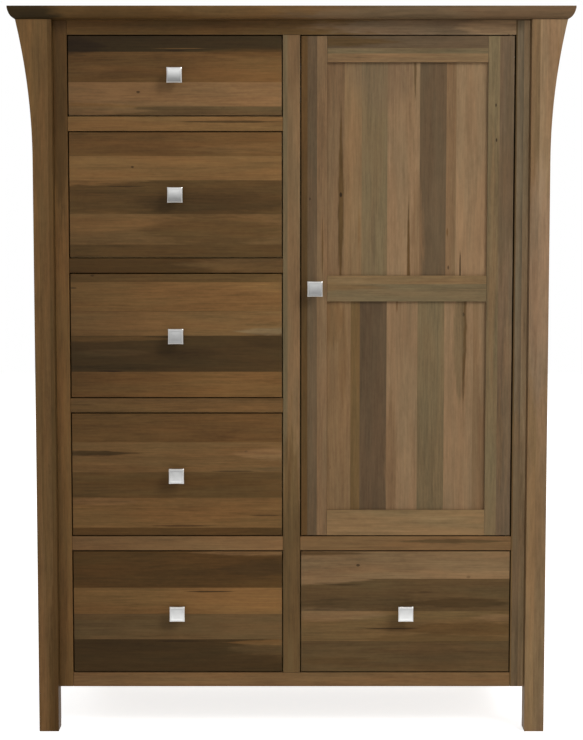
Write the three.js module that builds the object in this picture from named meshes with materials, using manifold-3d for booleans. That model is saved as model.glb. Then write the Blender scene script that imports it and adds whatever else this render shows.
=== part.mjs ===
// A chifforobe: five drawers on the left, and on the right a hanging bay behind a door with a drawer below it.
// Millimetres, X to the viewer's right, Y towards the back, Z up. The origin is on the floor, under the middle.
import * as THREE from "three";
import { mergeVertices } from "three/addons/utils/BufferGeometryUtils.js";
import Module from "manifold-3d";

const wasm = await Module();
wasm.setup();

// Overall size and top board
const height = 1524;
const topWidth = 1168.4;
const topDepth = 533.4;
const topThickness = 25.4;
const topLand = 3;
const topEdgeInset = 13.5;
const topReveal = 1;
const edgeCurveInShare = 0.2;
const edgeCurveDownShare = 0.77;
const edgeCurveSteps = 6;

// Legs
const legWidth = 41.3;
const legDepth = 44.45;
const legFlare = 33.1;
const flareHeight = 290;
const flareSteps = 12;

// Face frame, whose back is flush with the back of the front legs
const frameThickness = 19.05;
const stileWidth = 29.1;
const centreStileWidth = 36;
const railHeight = 30.2;
const footHeight = 91.2;
const shallowOpening = 168.2;
const deepOpeningCount = 4;
const frontGap = 2.4;
const hingeSideGap = 3.2;

// Boards of the case
const boardThickness = 19.05;
const dustPanelThickness = 12.7;
const sidePanelSetIn = 8;
const sideGrooveDepth = 9.5;
const backThickness = 6.4;
const backSetIn = 5;
const backRebateWidth = 9.5;

// Runners, guides and stops
const runnerBearing = 25;
const guideWidth = 18;
const guideHeight = 25;
const stopWidth = 40;
const stopLength = 70;
const stopHeight = 9;

// Drawer boxes
const boxWall = 12.7;
const boxSideClearance = 1.5;
const boxTopClearance = 6;
const boxRearClearance = 22;
const boxBottomThickness = 6.4;
const boxBottomRaise = 10.5;
const runnerClearance = 0.4;

// Door
const doorMemberWidth = 53.975;
const doorKnobInset = 28.6;
const doorPanelThickness = 6.4;
const doorPanelRecess = 6.3;
const doorGrooveDepth = 9.5;

// Pivot hinges
const pivotInset = 7.5;
const pivotSetback = 6.2;
const pinRadius = 2.2;
const pinHoleRadius = 2.6;
const pinBite = 2.3;
const collarRadius = 4;
const plateThickness = 2.5;
const plateMargin = 2.5;

// Magnetic catch
const catchWidth = 24;
const catchDepth = 14;
const catchHeight = 46;
const catchDrop = 120;
const strikeThickness = 1.5;
const strikeHeight = 40;

// Knobs and their screws
const knobWidth = 31.75;
const knobReach = 28;
const knobHeadThickness = 9;
const knobRimWidth = 4.6;
const knobRimDrop = 2.2;
const knobSideBow = 1.4;
const knobNeckRadius = 5.5;
const knobFootRadius = 8.5;
const knobFootThickness = 3;
const screwRadius = 2;
const screwHoleRadius = 2.6;
const screwHeadRadius = 4.5;
const screwHeadThickness = 2.5;

// Clothes rod
const rodRadius = 16;
const rodDrop = 75;
const socketWall = 4.5;
const socketDepth = 16;
const socketBase = 4;

// Clearance where pieces meet, how far a cut runs past what it cuts, and steps in a full turn
const fit = 0.3;
const overrun = 5;
const turnSteps = 24;
const smallTurnSteps = 12;

// Levels
const underTop = height - topThickness;
const bottomRailTop = footHeight + railHeight;
const deepStack = underTop - bottomRailTop - railHeight - shallowOpening;
const deepPitch = deepStack / deepOpeningCount;
const deepOpening = deepPitch - railHeight;
const topRailBottom = underTop - railHeight;
const doorOpeningBottom = bottomRailTop + deepPitch;

// Depths
const legRear = topDepth / 2;
const legFront = -topDepth / 2 + topEdgeInset + topReveal;
const frameBack = legFront + legDepth;
const frameFront = frameBack - frameThickness;
const backFront = legRear - backSetIn - backThickness;
const insideFront = frameBack + fit;
const insideBack = backFront - fit;
const frameDepth = [frameFront, frameBack];
const insideDepth = [insideFront, insideBack];

// Widths, measured from the middle
const legTopOuter = topWidth / 2 - topEdgeInset - topReveal;
const legOuter = legTopOuter - legFlare;
const legInner = legOuter - legWidth;
const openingOuter = legInner - stileWidth;
const openingInner = centreStileWidth / 2;
const openingWidth = openingOuter - openingInner;
const bayMiddle = (openingOuter + openingInner) / 2;
const sideOuter = legOuter - sidePanelSetIn;
const sideInner = sideOuter - boardThickness;
const partitionFace = boardThickness / 2;
const bayOuter = sideInner - fit;
const bayInner = partitionFace + fit;
const railEnd = openingOuter - fit;

// Turns a geometry into a closed solid for joining and cutting
function solidOf(geometry) {
  const plain = geometry.clone();
  plain.deleteAttribute("normal");
  plain.deleteAttribute("uv");
  const merged = mergeVertices(plain);
  return new wasm.Manifold(
    new wasm.Mesh({
      numProp: 3,
      vertProperties: merged.attributes.position.array,
      triVerts: new Uint32Array(merged.index.array),
    }),
  );
}

// Turns a solid back into a geometry
function geometryOf(solid) {
  const mesh = solid.getMesh();
  const geometry = new THREE.BufferGeometry();
  geometry.setAttribute("position", new THREE.BufferAttribute(mesh.vertProperties, 3));
  geometry.setIndex(new THREE.BufferAttribute(mesh.triVerts, 1));
  const flat = geometry.toNonIndexed();
  flat.computeVertexNormals();
  return flat;
}

function join(...geometries) {
  return geometryOf(geometries.map(solidOf).reduce((whole, piece) => whole.add(piece)));
}

function cut(geometry, ...tools) {
  return geometryOf(tools.map(solidOf).reduce((whole, tool) => whole.subtract(tool), solidOf(geometry)));
}

function common(first, second) {
  return geometryOf(solidOf(first).intersect(solidOf(second)));
}

// A block between two values on each axis, given in any order
function block([x0, x1], [y0, y1], [z0, z1]) {
  const geometry = new THREE.BoxGeometry(Math.abs(x1 - x0), Math.abs(y1 - y0), Math.abs(z1 - z0));
  return geometry.translate((x0 + x1) / 2, (y0 + y1) / 2, (z0 + z1) / 2);
}

// An outline drawn in X and Z, filled from one depth to another
function frontSection(shape, [yFront, yBack]) {
  const options = { depth: yBack - yFront, bevelEnabled: false, curveSegments: edgeCurveSteps };
  return new THREE.ExtrudeGeometry(shape, options).rotateX(Math.PI / 2).translate(0, yBack, 0);
}

// An outline drawn in Y and Z, filled from one width to another
function sideSection(shape, [xLeft, xRight]) {
  const options = { depth: xRight - xLeft, bevelEnabled: false, curveSegments: edgeCurveSteps };
  const turn = new THREE.Matrix4().makeBasis(
    new THREE.Vector3(0, 1, 0),
    new THREE.Vector3(0, 0, 1),
    new THREE.Vector3(1, 0, 0),
  );
  return new THREE.ExtrudeGeometry(shape, options).applyMatrix4(turn).translate(xLeft, 0, 0);
}

// A round bar about the X, Y or Z axis between two places on it
function bar(axis, radius, [from, to], steps) {
  const geometry = new THREE.CylinderGeometry(radius, radius, Math.abs(to - from), steps);
  if (axis === "x") geometry.rotateZ(Math.PI / 2);
  if (axis === "z") geometry.rotateX(Math.PI / 2);
  const middle = (from + to) / 2;
  return geometry.translate(axis === "x" ? middle : 0, axis === "y" ? middle : 0, axis === "z" ? middle : 0);
}

// Finishes
const stainedWood = (color) => ({ color, roughness: 0.45, metalness: 0 });
const plainWood = (color) => ({ color, roughness: 0.6, metalness: 0 });
const metal = (color) => ({ color, roughness: 0.3, metalness: 0.9 });

// Adds a piece to a group under its name, at a place in that group
function place(group, name, geometry, finish, [x, y, z] = [0, 0, 0]) {
  const mesh = new THREE.Mesh(geometry, new THREE.MeshStandardMaterial(finish));
  mesh.name = name;
  mesh.position.set(x, y, z);
  group.add(mesh);
}

// Adds a plain board between two values on each axis
function placeBoard(group, name, finish, [x0, x1], [y0, y1], [z0, z1]) {
  const geometry = new THREE.BoxGeometry(Math.abs(x1 - x0), Math.abs(y1 - y0), Math.abs(z1 - z0));
  place(group, name, geometry, finish, [(x0 + x1) / 2, (y0 + y1) / 2, (z0 + z1) / 2]);
}

const chifforobe = new THREE.Group();
const sides = [
  { word: "left", side: -1 },
  { word: "right", side: 1 },
];

// Top board, whose lower edge rounds in at the front and at both sides
function addTopBoard() {
  const halfWidth = topWidth / 2;
  const curveHeight = topThickness - topLand;
  const controlIn = topEdgeInset * edgeCurveInShare;
  const controlLevel = curveHeight * (1 - edgeCurveDownShare);

  const widthShape = new THREE.Shape();
  widthShape.moveTo(-halfWidth + topEdgeInset, 0);
  widthShape.lineTo(halfWidth - topEdgeInset, 0);
  widthShape.quadraticCurveTo(halfWidth - controlIn, controlLevel, halfWidth, curveHeight);
  widthShape.lineTo(halfWidth, topThickness);
  widthShape.lineTo(-halfWidth, topThickness);
  widthShape.lineTo(-halfWidth, curveHeight);
  widthShape.quadraticCurveTo(-halfWidth + controlIn, controlLevel, -halfWidth + topEdgeInset, 0);

  const front = -topDepth / 2;
  const depthShape = new THREE.Shape();
  depthShape.moveTo(legRear, 0);
  depthShape.lineTo(legRear, topThickness);
  depthShape.lineTo(front, topThickness);
  depthShape.lineTo(front, curveHeight);
  depthShape.quadraticCurveTo(front + controlIn, controlLevel, front + topEdgeInset, 0);

  const widthSection = frontSection(widthShape, [front - overrun, legRear + overrun]);
  const depthSection = sideSection(depthShape, [-halfWidth - overrun, halfWidth + overrun]);
  place(chifforobe, "top_board", common(widthSection, depthSection), stainedWood("#6b5236"), [0, 0, underTop]);
}

// The outline of a leg from its inner face outwards, with an arc that leans out to meet the top
function legShape(side) {
  const arcStart = underTop - flareHeight;
  const arcRadius = (flareHeight ** 2 + legFlare ** 2) / (2 * legFlare);
  const arcAngle = Math.asin((flareHeight - fit) / arcRadius);
  const shape = new THREE.Shape();
  shape.moveTo(0, 0);
  shape.lineTo(side * legWidth, 0);
  for (let step = 0; step <= flareSteps; step++) {
    const angle = (arcAngle * step) / flareSteps;
    const lean = arcRadius * (1 - Math.cos(angle));
    shape.lineTo(side * (legWidth + lean), arcStart + arcRadius * Math.sin(angle));
  }
  shape.lineTo(0, underTop - fit);
  return shape;
}

// Legs, grooved for the side panels, and at the back rebated for the back panel
function addLegs() {
  const grooveLevels = [footHeight - fit, underTop + overrun];
  for (const { word, side } of sides) {
    const leg = frontSection(legShape(side), [0, legDepth]);
    const grooveWidth = [side * (sideInner - fit - legInner), side * (sideOuter + fit - legInner)];
    const frontLegGroove = block(grooveWidth, [legDepth - sideGrooveDepth, legDepth + overrun], grooveLevels);
    const rearLegGroove = block(grooveWidth, [-overrun, sideGrooveDepth], grooveLevels);
    const rebateFront = legDepth - backSetIn - backThickness - fit;
    const rebate = block([-side * overrun, side * backRebateWidth], [rebateFront, legDepth + overrun], grooveLevels);
    const frontPlace = [side * legInner, legFront, 0];
    const rearPlace = [side * legInner, legRear - legDepth, 0];
    place(chifforobe, `front_${word}_leg`, cut(leg, frontLegGroove), stainedWood("#75583a"), frontPlace);
    place(chifforobe, `rear_${word}_leg`, cut(leg, rearLegGroove, rebate), stainedWood("#6f5538"), rearPlace);
  }
}

// Side panels, back panel and the partition between the two bays
function addPanels() {
  const panelDepth = [
    legFront + legDepth - sideGrooveDepth + fit,
    legRear - legDepth + sideGrooveDepth - fit,
  ];
  const panelLevels = [footHeight, underTop - fit];
  for (const { word, side } of sides) {
    const panelWidth = [side * sideInner, side * sideOuter];
    placeBoard(chifforobe, `${word}_side_panel`, stainedWood("#6a5137"), panelWidth, panelDepth, panelLevels);
  }
  const backHalf = legInner + backRebateWidth - fit;
  const backDepth = [backFront, backFront + backThickness];
  placeBoard(chifforobe, "back_panel", plainWood("#8d7350"), [-backHalf, backHalf], backDepth, panelLevels);

  const partitionWidth = [-partitionFace, partitionFace];
  const partitionLevels = [bottomRailTop + fit, underTop - fit];
  placeBoard(
    chifforobe, "centre_partition", plainWood("#a58a62"), partitionWidth, insideDepth, partitionLevels);
}

// The corners that boards inside the case leave free for a rear leg
function rearLegNotch(side) {
  const width = [side * (legInner - fit), side * (sideInner + overrun)];
  return block(width, [legRear - legDepth - fit, legRear + overrun], [-height, height]);
}

// The two strips of one bay that carry a drawer's sides, or keep them down from above
function drawerStrips(side, levels) {
  const outer = [side * (openingOuter - runnerBearing), side * bayOuter];
  const inner = [side * bayInner, side * (openingInner + runnerBearing)];
  return [outer, inner].map((width) => block(width, insideDepth, levels));
}

// What leads and stops a drawer: a guide at each side and a block that its box front and its back meet
function drawerGuides(side, boardThickness) {
  const root = -boardThickness / 2;
  const outer = [side * (openingOuter + fit), side * (openingOuter + fit + guideWidth)];
  const inner = [side * bayInner, side * (openingInner - fit)];
  const guides = [outer, inner].map((width) => block(width, insideDepth, [root, guideHeight]));
  const stopFront = insideFront + boxWall + fit;
  const stopX = [side * bayMiddle - stopWidth / 2, side * bayMiddle + stopWidth / 2];
  return [...guides, block(stopX, [stopFront, stopFront + stopLength], [root, stopHeight])];
}

// Face frame: stiles at the full height, the top and bottom rails between them, and the bay rails
function addFaceFrame() {
  for (const { word, side } of sides) {
    const width = [side * openingOuter, side * (legInner - fit)];
    const levels = [footHeight, underTop - fit];
    placeBoard(chifforobe, `${word}_stile`, stainedWood("#6e5236"), width, frameDepth, levels);
  }
  const centreLevels = [bottomRailTop + fit, topRailBottom - fit];
  const centreWidth = [-openingInner, openingInner];
  placeBoard(chifforobe, "centre_stile", stainedWood("#72573a"), centreWidth, frameDepth, centreLevels);
  const bottomLevels = [footHeight, bottomRailTop];
  placeBoard(chifforobe, "bottom_rail", stainedWood("#75593a"), [-railEnd, railEnd], frameDepth, bottomLevels);

  for (const { number, bottom } of drawersOnRails) {
    const name = `drawer_rail_${number}`;
    const width = [-railEnd, -openingInner - fit];
    placeBoard(chifforobe, name, stainedWood("#684e35"), width, frameDepth, [bottom - railHeight, bottom]);
  }
  const doorRail = block([openingInner + fit, railEnd], frameDepth, [-railHeight, 0]);
  const seat = pivotSeat(pivotX, pivotY, 0, -1);
  place(chifforobe, "door_rail", cut(doorRail, seat), stainedWood("#765a3b"), [0, 0, doorOpeningBottom]);
}

// Top rail, with the two strips behind it that keep the first drawer from tipping
function addTopRail() {
  const levels = [0, railHeight - fit];
  const rail = block([-railEnd, railEnd], frameDepth, levels);
  const tongueDepth = [frameBack - frameThickness / 2, insideFront + frameThickness];
  const outerTongue = block([-railEnd, -openingOuter + runnerBearing], tongueDepth, levels);
  const innerTongue = block([-openingInner - runnerBearing, -bayInner], tongueDepth, levels);
  const whole = join(rail, outerTongue, innerTongue, ...drawerStrips(-1, levels));
  const seat = pivotSeat(pivotX, pivotY, 0, 1);
  const finished = cut(whole, seat, rearLegNotch(-1));
  place(chifforobe, "top_rail", finished, stainedWood("#5c4a33"), [0, 0, topRailBottom]);
}

// Boards between the drawers of the left bay, each with its runners, guides and stop
function addDustFrames() {
  for (const { number, bottom } of drawersOnRails) {
    const panel = block([-bayOuter, -bayInner], insideDepth, [-dustPanelThickness, 0]);
    const strips = drawerStrips(-1, [-railHeight, -dustPanelThickness / 2]);
    const whole = join(panel, ...strips, ...drawerGuides(-1, dustPanelThickness));
    const frame = cut(whole, rearLegNotch(-1));
    place(chifforobe, `dust_frame_${number}`, frame, plainWood("#a98e64"), [0, 0, bottom]);
  }
}

// Bottom of the case, which carries the lowest drawer of each bay, and the floor of the hanging bay
function addFloors() {
  const bottomBoard = block([-bayOuter, bayOuter], insideDepth, [-boardThickness, 0]);
  const guides = sides.flatMap(({ side }) => drawerGuides(side, boardThickness));
  const caseBottom = cut(join(bottomBoard, ...guides), rearLegNotch(-1), rearLegNotch(1));
  place(chifforobe, "case_bottom", caseBottom, plainWood("#a4885e"), [0, 0, bottomRailTop]);

  const floorBoard = block([bayInner, bayOuter], insideDepth, [-boardThickness, 0]);
  const strips = drawerStrips(1, [-railHeight, -boardThickness / 2]);
  const wardrobeFloor = cut(join(floorBoard, ...strips), rearLegNotch(1));
  place(chifforobe, "wardrobe_floor", wardrobeFloor, plainWood("#a98c62"), [0, 0, doorOpeningBottom]);
}

// A knob about the middle of its foot: a square head with drawn-in sides, a neck, and a screw through the wood
function knobGeometry(grip) {
  const half = knobWidth / 2;
  const bow = half - knobSideBow;
  const shape = new THREE.Shape();
  shape.moveTo(-half, -half);
  shape.quadraticCurveTo(0, -bow, half, -half);
  shape.quadraticCurveTo(bow, 0, half, half);
  shape.quadraticCurveTo(0, bow, -half, half);
  shape.quadraticCurveTo(-bow, 0, -half, -half);
  const head = new THREE.ExtrudeGeometry(shape, {
    depth: knobHeadThickness - 2 * knobRimDrop,
    bevelEnabled: true,
    bevelThickness: knobRimDrop,
    bevelSize: knobRimWidth,
    bevelOffset: -knobRimWidth,
    bevelSegments: 2,
    curveSegments: 4,
  });
  const headBack = -knobReach + knobHeadThickness;
  head.rotateX(Math.PI / 2).translate(0, headBack - knobRimDrop, 0);

  const insideHead = headBack - knobHeadThickness / 2;
  const foot = -fit;
  const screwSeat = grip + fit;
  const profile = [
    [0, insideHead],
    [knobFootRadius, insideHead],
    [knobNeckRadius, (headBack + foot) / 2],
    [knobFootRadius, foot - knobFootThickness],
    [knobFootRadius, foot],
    [screwRadius, foot],
    [screwRadius, screwSeat],
    [screwHeadRadius, screwSeat],
    [screwHeadRadius, screwSeat + screwHeadThickness],
    [0, screwSeat + screwHeadThickness],
  ];
  const points = profile.map(([radius, y]) => new THREE.Vector2(radius, y));
  return join(head, new THREE.LatheGeometry(points, smallTurnSteps));
}

// The hole for a knob's screw through wood between two depths
function screwHole(x, [yFront, yBack], z) {
  return bar("y", screwHoleRadius, [yFront - overrun, yBack + overrun], smallTurnSteps).translate(x, 0, z);
}

// The openings that hold drawers, counted down the left bay and then below the door
const leftDrawers = [1, 2, 3, 4, 5].map((number) => {
  const bottom = bottomRailTop + (deepOpeningCount + 1 - number) * deepPitch;
  return { number, side: -1, bottom, opening: number === 1 ? shallowOpening : deepOpening };
});
const rightDrawer = { number: 6, side: 1, bottom: bottomRailTop, opening: deepOpening };
const drawersOnRails = leftDrawers.filter(({ number }) => number <= deepOpeningCount);

// A drawer about the middle of its opening's lower front edge
function addDrawer({ number, side, bottom, opening }) {
  const drawer = new THREE.Group();
  drawer.position.set(side * bayMiddle, frameFront, bottom);
  chifforobe.add(drawer);

  const frontHalf = openingWidth / 2 - frontGap;
  const middle = opening / 2;
  const frontLevels = [frontGap, opening - frontGap];
  const front = block([-frontHalf, frontHalf], [0, frameThickness], frontLevels);
  const frontHole = screwHole(0, [0, frameThickness], middle);
  place(drawer, `drawer_${number}_front`, cut(front, frontHole), stainedWood("#6d5135"));

  const boxHalf = openingWidth / 2 - boxSideClearance;
  const boxFront = frameThickness + fit;
  const boxBack = insideBack - boxRearClearance - frameFront;
  const boxLevels = [runnerClearance, opening - boxTopClearance];
  const bottomUnderside = runnerClearance + boxBottomRaise;
  const innerWidth = [-boxHalf + boxWall, boxHalf - boxWall];
  const innerDepth = [boxFront + boxWall, boxBack - boxWall];
  const shell = block([-boxHalf, boxHalf], [boxFront, boxBack], boxLevels);
  const inside = block(innerWidth, innerDepth, [bottomUnderside + boxBottomThickness, opening + overrun]);
  const underside = block(innerWidth, innerDepth, [-overrun, bottomUnderside]);
  const boxHole = screwHole(0, [boxFront, boxFront + boxWall], middle);
  place(drawer, `drawer_${number}_box`, cut(shell, inside, underside, boxHole), plainWood("#c9ab78"));

  place(drawer, `drawer_${number}_knob`, knobGeometry(boxFront + boxWall), metal("#b9b7b4"), [0, 0, middle]);
}

// Door sizes, measured from its lower left front corner
const doorLeft = openingInner + frontGap;
const doorRight = openingOuter - hingeSideGap;
const doorWidth = doorRight - doorLeft;
const doorHeight = topRailBottom - doorOpeningBottom - 2 * frontGap;
const fieldWidth = [doorMemberWidth, doorWidth - doorMemberWidth];
const panelDepth = [doorPanelRecess, doorPanelRecess + doorPanelThickness];
const grooveDepth = [panelDepth[0] - fit, panelDepth[1] + fit];
const grooveWidth = [fieldWidth[0] - doorGrooveDepth, fieldWidth[1] + doorGrooveDepth];
const tongueWidth = [grooveWidth[0] + fit, grooveWidth[1] - fit];

// A rail of the door, with a tongue at each end and a groove along the edges that hold a panel
function doorRailGeometry(zBottom, zTop, { grooveBelow, grooveAbove }) {
  const body = block([fieldWidth[0] + fit, fieldWidth[1] - fit], [0, frameThickness], [zBottom, zTop]);
  const rail = join(body, block(tongueWidth, panelDepth, [zBottom, zTop]));
  const below = block(grooveWidth, grooveDepth, [zBottom - overrun, zBottom + doorGrooveDepth]);
  const above = block(grooveWidth, grooveDepth, [zTop - doorGrooveDepth, zTop + overrun]);
  return cut(rail, ...(grooveBelow ? [below] : []), ...(grooveAbove ? [above] : []));
}

// Door: two stiles, three rails and two flat panels, its knob, strike plate and pivots
function addDoor() {
  const door = new THREE.Group();
  door.position.set(doorLeft, frameFront, doorOpeningBottom + frontGap);
  chifforobe.add(door);
  const middle = doorHeight / 2;
  const stileLevels = [0, doorHeight];
  const grooveLevels = [-overrun, doorHeight + overrun];

  const lockStile = block([0, fieldWidth[0]], [0, frameThickness], stileLevels);
  const lockGroove = block([grooveWidth[0], fieldWidth[0] + overrun], grooveDepth, grooveLevels);
  const knobHole = screwHole(doorKnobInset, [0, frameThickness], middle);
  place(door, "door_lock_stile", cut(lockStile, lockGroove, knobHole), stainedWood("#70553a"));
  place(door, "door_knob", knobGeometry(frameThickness), metal("#b9b7b4"), [doorKnobInset, 0, middle]);

  const hingeStile = block([fieldWidth[1], doorWidth], [0, frameThickness], stileLevels);
  const hingeGroove = block([fieldWidth[1] - overrun, grooveWidth[1]], grooveDepth, grooveLevels);
  const pivot = [doorWidth - pivotInset, pivotSetback];
  const seats = [pivotSeat(...pivot, doorHeight, -1), pivotSeat(...pivot, 0, 1)];
  place(door, "door_hinge_stile", cut(hingeStile, hingeGroove, ...seats), stainedWood("#7a5f40"));

  const lowerPanelLevels = [doorMemberWidth, middle - doorMemberWidth / 2];
  const upperPanelLevels = [middle + doorMemberWidth / 2, doorHeight - doorMemberWidth];
  const topRail = doorRailGeometry(upperPanelLevels[1], doorHeight, { grooveBelow: true });
  const middleEdges = { grooveBelow: true, grooveAbove: true };
  const middleRail = doorRailGeometry(lowerPanelLevels[1], upperPanelLevels[0], middleEdges);
  const bottomRail = doorRailGeometry(0, lowerPanelLevels[0], { grooveAbove: true });
  place(door, "door_top_rail", topRail, stainedWood("#6f563b"));
  place(door, "door_middle_rail", middleRail, stainedWood("#735a3b"));
  place(door, "door_bottom_rail", bottomRail, stainedWood("#7c6040"));

  const reach = doorGrooveDepth - fit;
  const panels = { upper: upperPanelLevels, lower: lowerPanelLevels };
  for (const [word, [zBottom, zTop]] of Object.entries(panels)) {
    const levels = [zBottom - reach, zTop + reach];
    placeBoard(door, `door_${word}_panel`, stainedWood("#78593c"), tongueWidth, panelDepth, levels);
  }

  const strikeWidth = [plateMargin, bayInner + catchWidth - doorLeft];
  const strikeDepth = [frameThickness + fit, frameThickness + fit + strikeThickness];
  const catchLevel = doorHeight - catchDrop;
  const strikeLevels = [catchLevel - strikeHeight / 2, catchLevel + strikeHeight / 2];
  placeBoard(door, "strike_plate", metal("#9a9a98"), strikeWidth, strikeDepth, strikeLevels);

  place(door, "upper_door_pivot", doorPivotGeometry(1), metal("#a8895a"), [...pivot, doorHeight]);
  place(door, "lower_door_pivot", doorPivotGeometry(-1), metal("#a8895a"), [...pivot, 0]);
}

// Pivot plates, drawn about the pivot's axis: they fill the hinge stile between its groove and its edge
const pivotX = doorRight - pivotInset;
const pivotY = frameFront + pivotSetback;
const plateWidth = [
  doorGrooveDepth + plateMargin - doorMemberWidth + pivotInset,
  pivotInset - plateMargin,
];
const plateDepth = [plateMargin - pivotSetback, frameThickness - plateMargin - pivotSetback];

// The mortise for a plate let in from a surface, upwards (1) or downwards (-1)
function pivotSeat(x, y, surface, direction) {
  const width = [plateWidth[0] - fit, plateWidth[1] + fit];
  const depth = [plateDepth[0] - fit, plateDepth[1] + fit];
  const levels = [-direction * overrun, direction * (plateThickness + fit)];
  return block(width, depth, levels).translate(x, y, surface);
}

// The door's plate with its pin, which points out of the door's end on a collar that fills the gap
function doorPivotGeometry(direction) {
  const plate = block(plateWidth, plateDepth, [-direction * plateThickness, 0]);
  const root = (-direction * plateThickness) / 2;
  const pin = bar("z", pinRadius, [root, direction * (frontGap + pinBite)], turnSteps);
  const collar = bar("z", collarRadius, [root, direction * (frontGap - fit)], turnSteps);
  return join(plate, pin, collar);
}

// The plates in the two rails, each with the hole that the pin turns in
function addCasePivots() {
  const ends = { upper: [topRailBottom, 1], lower: [doorOpeningBottom, -1] };
  for (const [word, [surface, direction]] of Object.entries(ends)) {
    const plate = block(plateWidth, plateDepth, [0, direction * plateThickness]);
    const hole = bar("z", pinHoleRadius, [-overrun, overrun], turnSteps);
    const name = `${word}_case_pivot`;
    place(chifforobe, name, cut(plate, hole), metal("#a8895a"), [pivotX, pivotY, surface]);
  }
}

// Magnetic catch on the partition, behind the strike plate of the closed door
function addCatch() {
  const level = doorOpeningBottom + frontGap + doorHeight - catchDrop;
  const front = insideFront + strikeThickness + fit;
  const finish = { color: "#4a3a2c", roughness: 0.55, metalness: 0 };
  const levels = [level - catchHeight / 2, level + catchHeight / 2];
  placeBoard(
    chifforobe, "magnetic_catch", finish, [bayInner, bayInner + catchWidth], [front, front + catchDepth], levels);
}

// Clothes rod across the hanging bay, with each end in a cup on the wall
function addRod() {
  const y = (insideFront + insideBack) / 2;
  const z = underTop - rodDrop;
  const cupRadius = rodRadius + fit + socketWall;
  const walls = { left: [bayInner, 1], right: [bayOuter, -1] };
  for (const [word, [wall, inwards]] of Object.entries(walls)) {
    const cup = bar("x", cupRadius, [0, inwards * socketDepth], turnSteps);
    const bore = bar("x", rodRadius + fit, [inwards * socketBase, inwards * (socketDepth + overrun)], turnSteps);
    place(chifforobe, `rod_socket_${word}`, cut(cup, bore), metal("#a9a6a1"), [wall, y, z]);
  }
  const rodEnds = [bayInner + socketBase + fit, bayOuter - socketBase - fit];
  place(chifforobe, "garment_rod", bar("x", rodRadius, rodEnds, turnSteps), plainWood("#b89a6b"), [0, y, z]);
}

addTopBoard();
addLegs();
addPanels();
addFaceFrame();
addTopRail();
addDustFrames();
addFloors();
[...leftDrawers, rightDrawer].forEach(addDrawer);
addDoor();
addCasePivots();
addCatch();
addRod();

export default chifforobe;
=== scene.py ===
"""A wooden chifforobe: five drawers on the left, a framed door with a drawer below it on the right."""

import math
import random

import bpy
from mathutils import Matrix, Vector


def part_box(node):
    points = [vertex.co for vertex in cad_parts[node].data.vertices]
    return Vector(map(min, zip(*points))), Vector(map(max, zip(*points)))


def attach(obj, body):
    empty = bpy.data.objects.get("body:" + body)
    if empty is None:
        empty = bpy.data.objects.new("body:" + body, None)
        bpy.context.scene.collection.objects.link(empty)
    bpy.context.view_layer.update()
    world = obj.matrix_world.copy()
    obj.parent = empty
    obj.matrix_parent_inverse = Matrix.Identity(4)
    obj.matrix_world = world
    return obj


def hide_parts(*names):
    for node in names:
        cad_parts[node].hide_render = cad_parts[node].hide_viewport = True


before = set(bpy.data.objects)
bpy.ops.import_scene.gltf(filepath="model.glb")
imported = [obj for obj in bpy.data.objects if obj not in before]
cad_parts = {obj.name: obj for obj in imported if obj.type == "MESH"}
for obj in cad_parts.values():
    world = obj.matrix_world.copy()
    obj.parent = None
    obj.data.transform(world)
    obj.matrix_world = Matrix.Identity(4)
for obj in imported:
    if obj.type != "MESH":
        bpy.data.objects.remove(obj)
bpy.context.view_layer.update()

bl_info = {
    "name": "Chifforobe",
    "version": (1, 0, 0),
    "blender": (4, 5, 0),
    "location": "3D View > Sidebar > Chifforobe",
    "description": "Models a chifforobe of glued maple boards, with its drawers, door and knobs",
    "category": "Object",
}


def srgb(code):
    """A colour written as six hexadecimal digits, in Blender's linear values."""
    parts = [int(code[place:place + 2], 16) / 255 for place in (0, 2, 4)]
    return [part / 12.92 if part <= 0.04045 else ((part + 0.055) / 1.055) ** 2.4 for part in parts]


def amount(name, description, default, **kind):
    """A number that a user may change."""
    return bpy.props.FloatProperty(name=name, description=description, default=default, **kind)


def length(name, description, default):
    """A size that a user may change, in metres."""
    return amount(name, description, default, min=0.0, unit="LENGTH")


def power(name, description, default):
    """The power of a lamp, in watts."""
    return amount(name, description, default, min=0.0, unit="POWER")


def tone(name, description, code):
    """A colour that a user may change."""
    return bpy.props.FloatVectorProperty(
        name=name, description=description, default=srgb(code), subtype="COLOR", size=3, min=0.0, max=1.0
    )


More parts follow.
